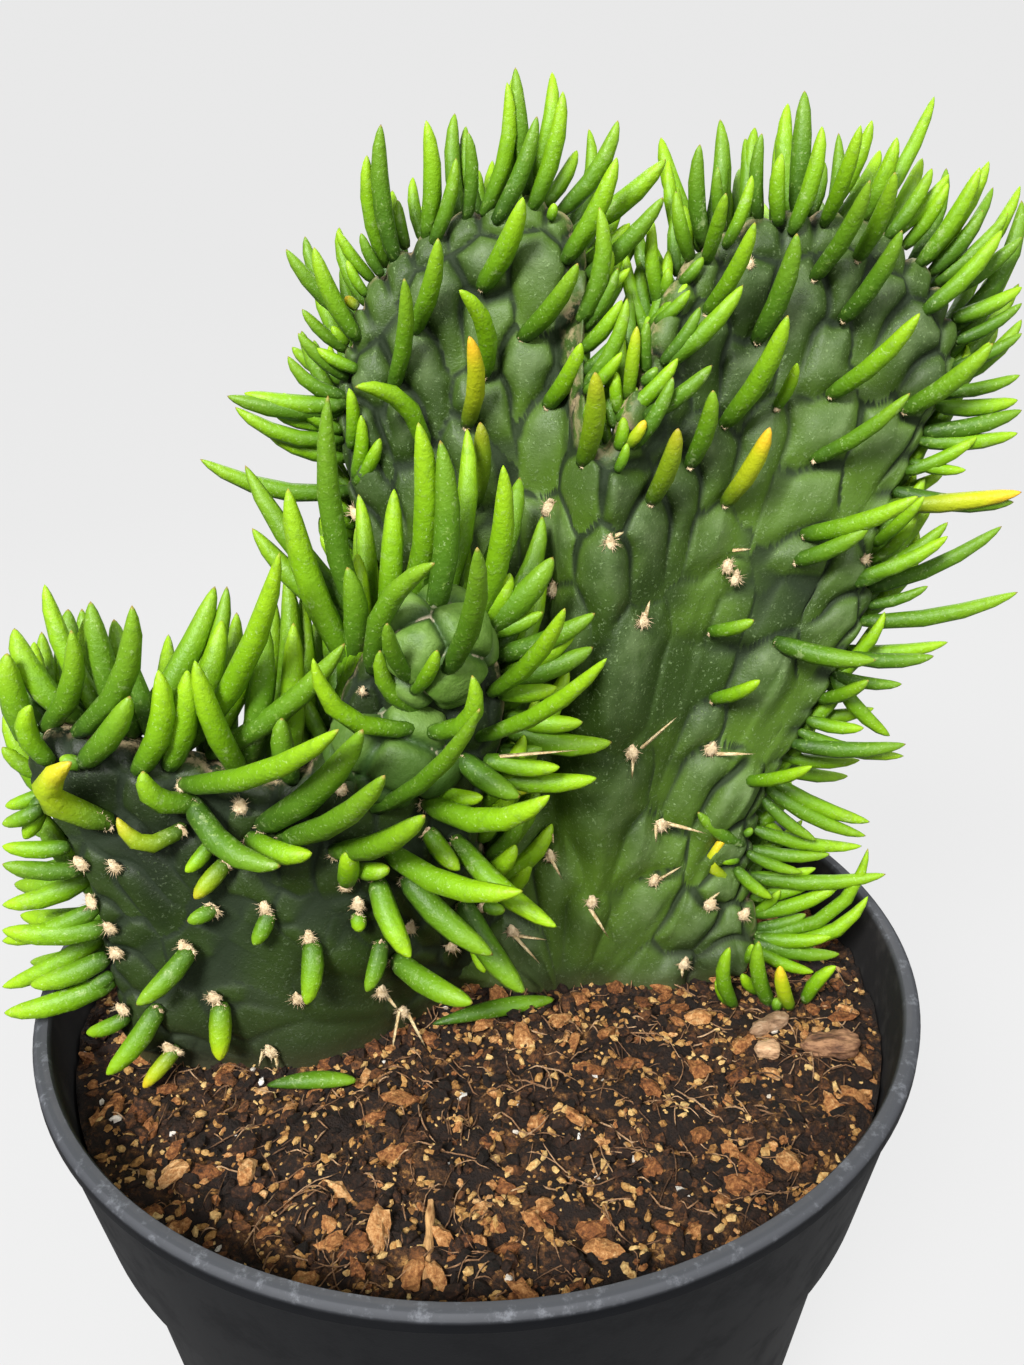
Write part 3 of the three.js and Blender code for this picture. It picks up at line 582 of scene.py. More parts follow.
crumbStops = {
    "peat": [(0.2, (0.006, 0.0035, 0.002)), (0.55, (0.028, 0.012, 0.006)), (0.9, (0.17, 0.066, 0.02))],
    "bark": [
        (0.05, (0.03, 0.012, 0.006)), (0.35, (0.2, 0.07, 0.02)),
        (0.6, (0.42, 0.19, 0.06)), (0.9, (0.7, 0.44, 0.2)),
    ],
    "grit": [(0.05, (0.12, 0.05, 0.015)), (0.4, (0.4, 0.2, 0.055)), (0.85, (0.72, 0.5, 0.2))],
    "perlite": [(0.1, (0.5, 0.42, 0.32)), (0.9, (0.85, 0.83, 0.78))],
}
for kind, spec in crumbs.items():
    placeOn(makeCrumbs(kind, spec), "soil_mix", crumbFinish(kind, crumbStops[kind], 0.7, 0.7))
fibres = {
    "count": 1300,
    "length": (2.5, 10),
    "radius": (0.08, 0.17),
    "bend": 1.8,
    "lift": (0.35, 0.9),
    "steps": 5,
    "set": 65,
    "to": 66,
    "wallAt": 69.5,
}


def makeFibres():  # thin strands that lie on the crumbs, each a bent three-sided tube
    steps = fibres["steps"]
    model, shape = ball(segments=3, rings=steps)
    ring, around = upAndAround(shape)
    ring = np.rint(ring * steps) / steps
    n = np.arange(fibres["count"])
    s = fibres["set"]
    reach, turn = fibres["to"] * np.sqrt(draw(s, n)), 2 * math.pi * draw(s + 10, n)
    low, high = fibres["length"]
    length = (low + (high - low) * draw(s + 20, n) ** 2)[:, None]
    way = 2 * math.pi * draw(s + 30, n)[:, None]
    bend = (draw(s + 40, n)[:, None] - 0.5) * fibres["bend"]
    t = ring[None] - 0.5
    x = (reach * np.cos(turn))[:, None] + length * (np.cos(way) * t - bend * np.sin(way) * t**2)
    y = (reach * np.sin(turn))[:, None] + length * (np.sin(way) * t + bend * np.cos(way) * t**2)
    squeeze = np.minimum(1, fibres["wallAt"] / np.hypot(x, y))
    x, y = x * squeeze, y * squeeze
    thin, thick = fibres["radius"]
    wide = (thin + (thick - thin) * draw(s + 50, n))[:, None]
    wide = wide * np.minimum(1, 3 * np.sin(np.pi * np.clip(ring, 0, 1)))[None]
    least, more = fibres["lift"]
    z = soilFine(x, y) + least + more * draw(s + 60, n)[:, None] * np.sin(np.pi * ring)[None]
    x = x - np.sin(way) * wide * np.cos(around)
    y = y + np.cos(way) * wide * np.cos(around)
    z = z + wide * np.sin(around)
    return copies("soil_fibres", model, np.stack([x, y, z], -1), {"tone": draw(s + 70, n)})


fibreStops = [(0.1, (0.07, 0.035, 0.018)), (0.5, (0.25, 0.13, 0.06)), (0.9, (0.55, 0.36, 0.2))]
placeOn(makeFibres(), "soil_mix", crumbFinish("fibre", fibreStops, 0.9, 0.7))
print("soil is made")

# crests: the same rows as the solid part, in millimetres
stemFoot = 102.6
bigCrest = {
    "foot": [[47, 5], [34, 6], [20, 6.5], [6, 5], [-7, 4]],
    "footHalf": 9.8,
    "footCrowd": 0.5,
    "rim": 6.2,
    "belly": 1.6,
    "set": 1,
    "leafWidth": 2.8,
    "fan": (15, 97),  # x and z that the tubercles' tails run to
    "rowsTo": 36,  # rows of tubercles are made by rule this far from the edge
    "relief": 1.0,
    "frontSpace": (3.6, 0.75),  # room that a front leaf needs, and the share of steep ones that is kept
    "margin": [  # x, y, z of the edge, x and z of the point passed through, and the length of the leaves
        [51, 4, 109, 46, 105, 11], [49.5, 6, 119, 40, 112, 14], [49.5, 7, 129, 38, 120, 15],
        [52, 8, 139, 38, 127, 17], [57, 9, 150, 39, 133, 17], [62, 10, 160, 41, 139, 18],
        [67, 12, 170, 43, 147, 19], [66.5, 12, 180, 45, 156, 18], [69.5, 13, 190, 47, 164, 19],
        [74, 15, 200, 49, 172, 20], [77.5, 16, 211, 51, 179, 21], [74, 16, 220, 51, 184, 22],
        [66, 16, 227, 50, 187, 21], [58, 15, 230.5, 48, 189, 20], [49, 14, 231, 46, 190, 21],
        [41, 12, 229.5, 44, 190, 19], [35, 9, 226, 42, 189, 15], [30, 6, 220.5, 39, 186, 11],
        [26.5, 2, 213, 34, 180, 9], [23, -3, 205, 28, 173, 7], [20, -6, 199.5, 22, 166, 6],
        [17.5, -2, 206, 15, 172, 7], [17.5, 4, 216, 10, 179, 9], [18, 9, 225, 8, 184, 15],
        [15, 12, 231, 7, 187, 19], [9, 13, 234, 5, 188, 21], [1.5, 14, 232, 3, 187, 21],
        [-6, 14, 228.5, 1, 185, 19], [-12.5, 14, 224, -1, 181, 18], [-16.5, 14, 219, -2, 178, 16],
        [-19, 14, 212, -2, 173, 15], [-21, 14, 203, -2, 167, 14], [-20.5, 14, 196, -2, 161, 11],
        [-20, 14, 186, -1, 153, 10], [-19.5, 13, 176, 0, 146, 13], [-18, 12, 163, 1, 138, 15],
        [-16, 10, 148, 1, 129, 15], [-13, 8, 133, 0, 120, 14], [-11, 6, 120, -3, 111, 12],
        [-10.5, 5, 110, -6, 105, 10],
    ],
    # places in the 1024 by 1365 picture: root, tip, and where they are needed bow and age of each leaf
    "rimLeaves": [
        [585, 330, 618, 268], [588, 350, 622, 300], [590, 372, 624, 330], [592, 392, 622, 352],
        [588, 310, 612, 250],
        [383, 262, 367, 155], [397, 260, 381, 124], [407, 247, 398, 200], [427, 237, 426, 120],
        [430, 242, 456, 158], [469, 218, 468, 132], [483, 212, 507, 82, 0.1], [498, 220, 537, 116],
        [533, 207, 563, 91], [548, 220, 554, 203], [562, 210, 618, 120, 0.1], [380, 275, 361, 233],
        [372, 280, 337, 230], [367, 295, 347, 260], [358, 338, 314, 247], [350, 320, 286, 249],
        [353, 307, 345, 297, 0, 0.8], [347, 350, 302, 309], [345, 343, 332, 326], [347, 377, 298, 333],
        [343, 395, 288, 356, 0.15], [357, 368, 317, 348], [343, 403, 244, 393], [340, 410, 227, 396],
        [337, 440, 235, 407, 0.12], [340, 430, 283, 393], [332, 460, 267, 433], [338, 425, 275, 415],
        [330, 492, 200, 459, 0.1], [363, 447, 349, 388], [397, 470, 361, 415], [370, 480, 380, 438],
        [558, 265, 617, 157], [568, 317, 599, 207, 0.12], [603, 220, 666, 159], [603, 277, 663, 197],
        [593, 260, 630, 223], [612, 305, 630, 268], [638, 290, 653, 220], [650, 293, 657, 257],
        [660, 293, 668, 268], [585, 387, 627, 298, 0.1], [628, 397, 637, 326, 0, 0.25], [648, 370, 648, 322],
        [643, 383, 657, 367], [617, 413, 637, 387], [608, 410, 617, 372], [617, 450, 623, 417],
        [628, 447, 645, 420, 0.05, 0.7], [618, 472, 627, 443], [620, 418, 678, 358], [637, 445, 673, 377],
        [657, 323, 690, 290], [633, 318, 687, 283], [683, 283, 703, 257], [663, 362, 700, 307],
        [690, 375, 743, 285], [660, 425, 712, 365], [695, 238, 700, 144], [720, 227, 718, 167],
        [760, 218, 762, 133], [727, 247, 752, 175], [780, 223, 782, 153], [790, 233, 822, 126],
        [827, 212, 872, 120], [863, 217, 897, 137], [888, 237, 932, 168], [903, 223, 949, 174],
        [910, 240, 948, 183], [948, 237, 989, 161], [920, 263, 980, 167], [940, 267, 983, 210],
        [950, 273, 1008, 213], [923, 313, 1002, 230], [980, 277, 1022, 237], [963, 317, 1022, 287],
        [965, 340, 1022, 303], [970, 370, 1022, 333], [953, 397, 1020, 375], [943, 410, 1018, 400],
        [937, 437, 1022, 410], [960, 457, 1018, 433], [920, 477, 977, 437], [890, 482, 933, 432],
        [870, 490, 944, 472], [940, 476, 966, 470], [868, 502, 920, 494], [950, 530, 1022, 492, 0.03, 1],
        [922, 504, 1014, 502], [892, 590, 1002, 526], [840, 580, 948, 522], [850, 575, 948, 536],
        [872, 624, 1018, 592], [888, 608, 928, 586], [808, 634, 948, 642], [864, 668, 934, 656],
        [836, 676, 902, 684], [840, 680, 890, 736], [784, 708, 874, 708], [816, 724, 864, 728],
        [796, 744, 906, 744], [860, 766, 904, 756], [778, 754, 860, 760], [782, 784, 870, 822],
        [770, 790, 866, 836], [764, 800, 816, 840], [746, 808, 784, 834], [832, 848, 862, 846],
        [772, 850, 830, 854], [748, 852, 802, 872], [736, 870, 772, 898], [716, 826, 752, 828],
        [712, 834, 698, 812], [702, 880, 730, 834, 0.35, 0.9], [704, 854, 716, 858], [784, 876, 816, 868],
        [778, 894, 822, 876], [796, 908, 840, 884], [808, 928, 868, 848, 0.2], [828, 876, 886, 874],
        [836, 928, 868, 896, 0.2], [770, 926, 806, 914], [772, 912, 780, 890],
        [776, 946, 840, 954],
        [784, 960, 814, 972], [744, 964, 752, 944],
        [812, 940, 832, 936],
    ],
    "rearLeaves": [
        [418, 237, 413, 177], [433, 203, 458, 142], [460, 213, 455, 113], [482, 215, 479, 170],
        [500, 180, 507, 130], [547, 203, 577, 150], [333, 380, 292, 347], [478, 205, 466, 126],
        [657, 200, 661, 137], [670, 243, 668, 160], [677, 247, 677, 185], [703, 240, 720, 119],
        [737, 207, 745, 138], [753, 213, 755, 127], [793, 173, 788, 103], [810, 210, 823, 160],
        [843, 207, 880, 150], [808, 780, 848, 776], [600, 300, 640, 232], [640, 330, 668, 250],
        [668, 268, 676, 212], [675, 262, 684, 205], [650, 275, 648, 235],
        [606, 425, 612, 370], [615, 415, 622, 365], [604, 400, 606, 350],
        [655, 350, 690, 300], [607, 330, 622, 240], [612, 360, 630, 290], [640, 330, 625, 250],
        [645, 370, 632, 300], [610, 300, 612, 230], [636, 300, 638, 225], [618, 390, 622, 330],
        [628, 395, 636, 350],
        [604, 272, 664, 198], [593, 285, 625, 224], [625, 337, 648, 316], [600, 262, 622, 200],
        [590, 330, 628, 255], [650, 330, 640, 262],
    ],
    "soilLeaves": [  # these come up from the buried stem
        [734, 1005, 730, 947, 0.12], [770, 1003, 759, 941, 0.08], [790, 1007, 780, 966, 0.04, 0.7],
        [805, 1001, 836, 966, -0.08], [730, 1003, 718, 978], [757, 991, 742, 974], [777, 1009, 778, 998],
    ],
    "faceLeaves": [
        [705, 315, 755, 222], [753, 337, 797, 233], [815, 283, 870, 180], [855, 258, 895, 172],
        [843, 323, 902, 230], [833, 393, 920, 313], [903, 410, 993, 343], [810, 462, 910, 393],
        [725, 425, 788, 315], [776, 403, 797, 363], [725, 502, 770, 427, 0.05, 1],
        [648, 502, 678, 428, 0.05, 0.3],
        [688, 465, 713, 390], [582, 462, 595, 372, 0.05, 0.25], [548, 407, 581, 343], [522, 343, 578, 263],
        [484, 290, 523, 197], [413, 338, 438, 238], [393, 392, 404, 278], [484, 377, 459, 290, -0.14],
        [468, 430, 469, 336, 0.08, 1], [425, 452, 355, 387, -0.2], [808, 532, 918, 496], [792, 562, 870, 526],
        [772, 642, 876, 660], [710, 632, 754, 620], [712, 698, 760, 680], [746, 780, 812, 766],
        [470, 502, 480, 422, 0.05, 0.2],
    ],
    "bareAreoles": [
        [612, 538], [726, 560], [736, 580], [644, 616], [634, 750], [708, 750], [660, 818], [654, 878],
        [710, 902], [590, 900], [684, 960], [758, 912], [550, 505], [553, 587], [352, 513], [462, 497],
        [512, 835], [550, 847], [513, 928],
    ],
    "spines": [
        [642, 746, 678, 716], [632, 756, 632, 780], [716, 752, 756, 754], [666, 818, 708, 834],
        [656, 824, 656, 844], [660, 874, 682, 866], [592, 904, 610, 940], [682, 962, 682, 980],
        [732, 554, 752, 549], [646, 612, 650, 600], [516, 935, 541, 965], [518, 934, 547, 940],
        [548, 850, 563, 881], [551, 845, 553, 833], [710, 898, 720, 892], [612, 536, 624, 532],
    ],
}
lowCrest = {
    "foot": [[-2, 4], [-10, -2], [-24, -12], [-40, -15.5], [-56, -16.5]],
    "footHalf": 8.4,
    "footCrowd": 0.6,
    "rim": 6,
    "belly": 1.2,
    "set": 2,
    "leafWidth": 3.75,
    "fan": (4, 99),
    "rowsTo": 14,
    "relief": 0.5,
    "frontSpace": (5.5, 0.4),
    "margin": [
        [4, 3, 117, -1, 110, 14], [3, -5, 128, -5, 116, 17], [1, -9, 138, -7, 123, 19],
        [2, -12, 148, -9, 130, 20], [5, -13, 158, -10, 138, 19], [5, -14, 168, -11, 146, 19],
        [1, -14, 176, -12, 151, 22], [-5, -14, 179, -14, 152, 24], [-12, -14, 176, -17, 149, 24],
        [-18, -13.5, 168, -21, 144, 25], [-21, -13.5, 160, -25, 138, 26], [-26, -14, 153.5, -30, 132, 27],
        [-33, -14, 152, -35, 129, 27], [-41, -14.5, 155.5, -39, 128, 26], [-49, -15, 158, -43, 128, 24],
        [-57, -15, 161, -46, 129, 21], [-63, -15, 161, -48, 128, 19], [-67, -15, 156, -49, 126, 18],
        [-64, -15.5, 149, -48, 122, 19], [-61, -16, 140, -47, 117, 20], [-60, -16.5, 131, -48, 113, 20],
        [-59.5, -17, 121, -50, 109, 18], [-59, -17, 110.5, -54, 106, 14],
    ],
    "rimLeaves": [
        [360, 637, 328, 395], [407, 587, 418, 422], [432, 617, 440, 440], [485, 615, 503, 465],
        [317, 647, 288, 488], [187, 736, 283, 545], [317, 647, 347, 567], [508, 613, 553, 557],
        [502, 610, 510, 573], [493, 627, 543, 612], [550, 633, 595, 613], [537, 670, 577, 627],
        [543, 673, 593, 647], [500, 693, 557, 687], [537, 718, 583, 722], [520, 727, 612, 742, 0.1],
        [510, 753, 543, 748], [483, 760, 560, 767], [533, 793, 597, 778], [507, 790, 530, 790, 0, 0.3],
        [210, 753, 345, 643], [13, 736, 7, 653], [33, 714, 71, 630, 0.12], [51, 763, 31, 705, 0.2],
        [77, 732, 132, 605, 0.12], [84, 762, 130, 696], [137, 771, 158, 670, 0.12], [170, 767, 187, 670],
        [293, 780, 282, 718], [50, 780, 2, 747], [46, 791, 5, 806], [40, 798, 24, 839], [33, 813, 2, 824],
        [80, 765, 60, 757], [119, 864, 2, 905, 0.08], [117, 927, 2, 987], [123, 952, 22, 1017],
        [55, 996, 4, 1013], [136, 1015, 86, 1033], [86, 1048, 40, 1062], [77, 872, 2, 864],
        [103, 927, 2, 930], [95, 908, 2, 941], [64, 850, 2, 846], [88, 1040, 52, 1030], [96, 960, 30, 985],
        [108, 975, 48, 1010], [90, 1062, 70, 1075],
    ],
    "soilLeaves": [],
    "rearLeaves": [
        [447, 573, 467, 428], [500, 567, 520, 477], [333, 590, 245, 465], [307, 587, 252, 528],
        [29, 707, 24, 666], [125, 758, 110, 652], [141, 714, 215, 586], [191, 670, 227, 586],
        [183, 721, 222, 619], [211, 743, 255, 611], [271, 729, 286, 571], [304, 725, 304, 696],
        [70, 835, 20, 822], [80, 880, 14, 884], [88, 915, 20, 915], [92, 945, 30, 962], [88, 975, 26, 997],
        [84, 1000, 30, 1022], [70, 860, 12, 872], [82, 1020, 44, 1042],
    ],
    "faceLeaves": [
        [185, 773, 339, 729], [264, 824, 363, 729], [282, 839, 385, 775], [334, 850, 425, 815],
        [193, 802, 281, 866, 0.15], [250, 838, 312, 853, 0.1], [196, 802, 143, 771, 0.25],
        [183, 828, 117, 817, 0.35, 0.35], [108, 822, 72, 762, 0.4, 0.5], [211, 842, 185, 872],
        [226, 861, 194, 899, 0, 0.35], [216, 907, 187, 921], [270, 914, 253, 945], [310, 941, 306, 1005],
        [358, 912, 361, 932], [191, 949, 136, 1005], [220, 1002, 220, 1061, 0, 0.2], [158, 1007, 106, 1075],
        [178, 1048, 143, 1088, 0, 0.6], [378, 879, 411, 958], [381, 938, 366, 992],
        [358, 870, 389, 868], [345, 883, 345, 853], [405, 877, 493, 955], [463, 903, 525, 993],
        [395, 957, 473, 1003], [388, 850, 523, 891, 0.1], [455, 840, 557, 927], [460, 757, 520, 797],
        [440, 793, 483, 797], [427, 800, 550, 795, 0.14], [428, 830, 460, 870], [483, 905, 505, 910],
        [475, 925, 485, 973],
    ],
    "bareAreoles": [
        [103, 813], [82, 862], [114, 861], [86, 901], [110, 923], [117, 949], [123, 1005], [185, 943],
        [215, 996], [211, 905], [266, 905], [310, 934], [299, 996], [359, 901], [383, 989], [407, 1020],
        [271, 1048], [169, 1044], [249, 776], [341, 784], [405, 771], [453, 943], [412, 923],
    ],
    "spines": [
        [404, 1023, 390, 1062], [411, 1023, 429, 1054], [388, 992, 400, 1012], [264, 1050, 258, 1070],
        [276, 1052, 278, 1072], [578, 767, 580, 750],
    ],
}
headShapes = [
    {
        "name": "head_ball", "centre": (-5, -16.5, 173), "radii": (8.4, 8.4, 8.3),
        "count": 11, "turn": 1.0, "fine": 6,
    },
    {
        "name": "head_tiers", "centre": (-11, -15, 157), "radii": (10.4, 9.2, 8.8),
        "count": 13, "turn": 3.0, "fine": 5,
    },
]
headLeaves = [
    [372, 670, 435, 563, -0.12], [447, 670, 477, 547], [492, 693, 565, 608], [478, 737, 607, 658, 0.06],
    [428, 730, 472, 675, 0.25], [377, 810, 480, 708], [410, 680, 387, 623], [422, 710, 380, 650, 0.15],
    [413, 690, 437, 650], [413, 730, 313, 658, 0.2],
]

# distance of a row of tubercles from the edge, spacing along the row, length of the tail and height
tubercleRows = [
    (1, 5.5, 4, 1.2), (8, 7.5, 9, 2.0), (16.5, 9.5, 15, 2.2), (28, 12, 24, 2.0), (43, 14, 34, 1.7),
    (61, 15, 42, 1.5), (80, 14, 42, 1.4), (98, 12, 34, 1.5),
]


def curvePoints(rows, t):  # smooth curve through rows, at shares t of it
    rows = np.asarray(rows, float)
    padded = np.vstack([2 * rows[0] - rows[1], rows, 2 * rows[-1] - rows[-2]])
    place = np.clip(np.asarray(t, float), 0, 1) * (len(rows) - 1)
    i = np.minimum(place.astype(int), len(rows) - 2)
    w = (place - i)[..., None]
    a, b, c, d = padded[i], padded[i + 1], padded[i + 2], padded[i + 3]
    slope = 0.5 * (c - a)
    return b + w * slope + w**2 * (a - 2.5 * b + 2 * c - 0.5 * d) + w**3 * (1.5 * (b - c) + 0.5 * (d - a))


def cameraAxes():
    down, roll = math.radians(view["down"]), math.radians(view["roll"])
    forward = np.array([0, math.cos(down), -math.sin(down)])
    right = np.array([1.0, 0, 0])
    up = np.cross(right, forward)
    return math.cos(roll) * right + math.sin(roll) * up, math.cos(roll) * up - math.sin(roll) * right, forward


def seenAt(points):  # where a point shows in the picture, and how far off it is
    right, up, forward = cameraAxes()
    away = np.asarray(points, float) - np.array(view["place"])
    depth = away @ forward
    focal = view["focal"]
    wide, high = view["picture"]
    x, y = wide / 2 + focal * (away @ right) / depth, high / 2 - focal * (away @ up) / depth
    return np.stack([x, y], -1), depth


def behindPixel(x, y, depthY):  # the point that shows at a place of the picture, at a depth along y
    right, up, forward = cameraAxes()
    wide, high = view["picture"]
    ray = right * (x - wide / 2) / view["focal"] - up * (y - high / 2) / view["focal"] + forward
    place = np.array(view["place"])
    return place + ray * (depthY - place[1]) / ray[1]


class Crest:  # a fan-shaped stem from a foot line to a long curved edge
    def __init__(self, spec):
        rows = np.array(spec["margin"], float)
        self.spec = spec
        self.edge = rows[:, :3]
        self.via = np.column_stack([rows[:, 3], rows[:, 1], rows[:, 4]])
        self.reach = rows[:, 5:]
        self.foot = np.array([[x, y, stemFoot] for x, y in spec["foot"]], float)
        self.steps = np.linspace(0, 1, 201)
        gaps = np.linalg.norm(np.diff(curvePoints(self.edge, self.steps), axis=0), axis=1)
        self.walked = np.concatenate([[0], np.cumsum(gaps)])
        u, v = np.meshgrid(np.linspace(0, 1, 401), np.linspace(-1, 0.3, 105), indexing="ij")
        self.gridU, self.gridV = u.ravel(), v.ravel()
        self.grid = self.skin(self.gridU, self.gridV)[0]
        self.shown, self.depth = seenAt(self.grid)

    def at(self, u):
        return np.interp(np.asarray(u) * self.walked[-1], self.walked, self.steps)

    def radials(self, u):
        u = np.asarray(u, float)
        at = self.at(u)
        crowd = self.spec["footCrowd"]
        near = 0.5 * (2 * np.minimum(u, 0.5)) ** crowd
        far = 1 - 0.5 * (2 * (1 - np.maximum(u, 0.5))) ** crowd
        share = np.where(u < 0.5, near, far)
        foot = curvePoints(self.foot, share)
        via = curvePoints(self.via, at)
        via[..., 1] = foot[..., 1] + (via[..., 1] - foot[..., 1]) * 0.6
        half = self.spec["footHalf"] * np.sqrt(1 - 0.78 * (2 * share - 1) ** 2)
        return foot, via, curvePoints(self.edge, at), half

    def rib(self, u):  # a line from foot to tip, and the share of it where the rounded edge starts
        foot, via, tip, half = self.radials(u)
        shoulder = np.maximum(0.35, 1 - self.spec["rim"] / (2 * np.linalg.norm(tip - via, axis=-1)))

        def middle(s):
            s = s[..., None]
            return foot * (1 - s) ** 2 + via * 2 * (1 - s) * s + tip * s * s
        return foot, tip, half, shoulder, middle

    def skin(self, u, v):  # v is -1 at the front foot, 0 on the edge and 1 at the back foot
        u, v = np.broadcast_arrays(np.asarray(u, float), np.asarray(v, float))
        foot, tip, half, shoulder, middle = self.rib(u)
        rim = self.spec["rim"]
        share = np.clip((1 - np.abs(v)) / 0.7, 0, 1)
        side = np.where(v < 0, 1.0, -1.0)
        wide = half + (rim - half) * ease(share) + self.spec["belly"] * np.sin(np.pi * share)
        flat = middle(shoulder * share)
        flat[..., 1] -= side * wide
        flatFacing = np.stack([0 * side, -side, 0 * side], -1)
        centre = middle(shoulder)
        outward = tip - centre
        depth = np.linalg.norm(outward, axis=-1, keepdims=True)
        outward = outward / depth
        turn = (-v / 0.3) * (np.pi / 2)
        cos, sin = np.cos(turn)[..., None], np.sin(turn)
        rounded = centre + outward * depth * cos
        rounded[..., 1] -= rim * sin
        roundFacing = outward * cos
        roundFacing[..., 1] -= sin
        onFace = (np.abs(v) > 0.3)[..., None]
        return np.where(onFace, flat, rounded), np.where(onFace, flatFacing, unit(roundFacing))

    def rowV(self, u, fromEdge, side):  # v of the skin at a distance from the edge, or nan below the foot
        foot, tip, half, shoulder, middle = self.rib(u)
        quarter = self.spec["rim"] * 1.4
        upper = np.linalg.norm(middle(shoulder) - middle(shoulder / 2), axis=-1)
        length = upper + np.linalg.norm(middle(shoulder / 2) - foot, axis=-1)
        s = 1 - (fromEdge - quarter) / length
        v = np.where(fromEdge < quarter, 0.3 * fromEdge / quarter, 1 - 0.7 * s)
        v = np.where((fromEdge >= quarter) & (s < 0.03), np.nan, v)
        return side * v

    def seenPlace(self, x, y, lowV, highV):  # u and v of the skin that shows at a place of the picture
        among = np.flatnonzero((self.gridV >= lowV) & (self.gridV <= highV))
        far = np.hypot(self.shown[among, 0] - x, self.shown[among, 1] - y)
        near = far + np.where(far < 7, 0.25 * (self.depth[among] - 100), 1000)
        best = among[np.argmin(near if far.min() < 7 else far)]
        return self.gridU[best], self.gridV[best]

    def local(self, u, v):  # point, facing and the way up to the edge
        point, facing = self.skin(u, v)
        side = np.where(np.asarray(v) <= 0, 1.0, -1.0)
        ahead = self.skin(u, np.asarray(v) + side * 0.02)[0]
        along = ahead - point
        along = along - facing * np.sum(along * facing, axis=-1, keepdims=True)
        return point, facing, unit(along)


def areoles(crest, side):  # tubercle heads on one side: the ones seen first, then rows that fill the rest
    spec = crest.spec
    found = []
    if side < 0:
        seen = [(row[0], row[1], "leaf") for row in spec["faceLeaves"]]
        seen += [(x, y, "bare") for x, y in spec["bareAreoles"]]
        for x, y, kind in seen:
            u, v = crest.seenPlace(x, y, -0.97, -0.2)
            found.append((u, v, kind))
    taken = [crest.skin(u, v)[0] for u, v, _ in found]
    for k, (fromEdge, apart, tail, high) in enumerate(tubercleRows):
        if (fromEdge < 2 and side > 0) or (fromEdge > spec["rowsTo"] and side < 0):
            continue
        walk = np.linspace(0, 1, 1200)
        v = crest.rowV(walk, fromEdge, side)
        good = ~np.isnan(v)
        points = crest.skin(walk, np.where(good, v, 0))[0]
        walked, last = (k % 2) * apart * 0.5, None
        for i in np.flatnonzero(good):
            if last is not None and i - last[0] == 1:
                walked += np.linalg.norm(points[i] - last[1])
            last = (i, points[i])
            if walked < apart:
                continue
            walked = (float(draw(spec["set"] * 9 + k, i)) - 0.5) * apart * 0.3
            if any(np.linalg.norm(points[i] - p) < apart * 0.75 for p in taken):
                continue
            taken.append(points[i])
            found.append((walk[i], v[i], f"row{k}"))
    return found


def edgeDistance(crest, points):
    edge = curvePoints(crest.edge, np.linspace(0, 1, 400))
    far = np.full(points.shape[:-1], 1e9)
    for p in edge:
        far = np.minimum(far, np.linalg.norm(points - p, axis=-1))
    return far


def tubercleSize(fromEdge):
    rows = np.array(tubercleRows)
    return [np.interp(fromEdge, rows[:, 0], rows[:, k]) for k in (1, 2, 3)]


tubercle = {
    "wide": 0.58,  # half width, as a share of the spacing
    "uneven": (0.9, 0.25),
    "start": 0.75,
    "taper": 0.72,
    "round": (0.7, 0.075),
    "narrow": 0.45,
    "skirt": (0.3, 4.5),
    "crease": 1.9,
    "tailFrom": (6, 14),  # from this far in, and over this width, tails turn to the fan's point
    "calmFrom": (10, 24),
    "calm": 0.75,
}


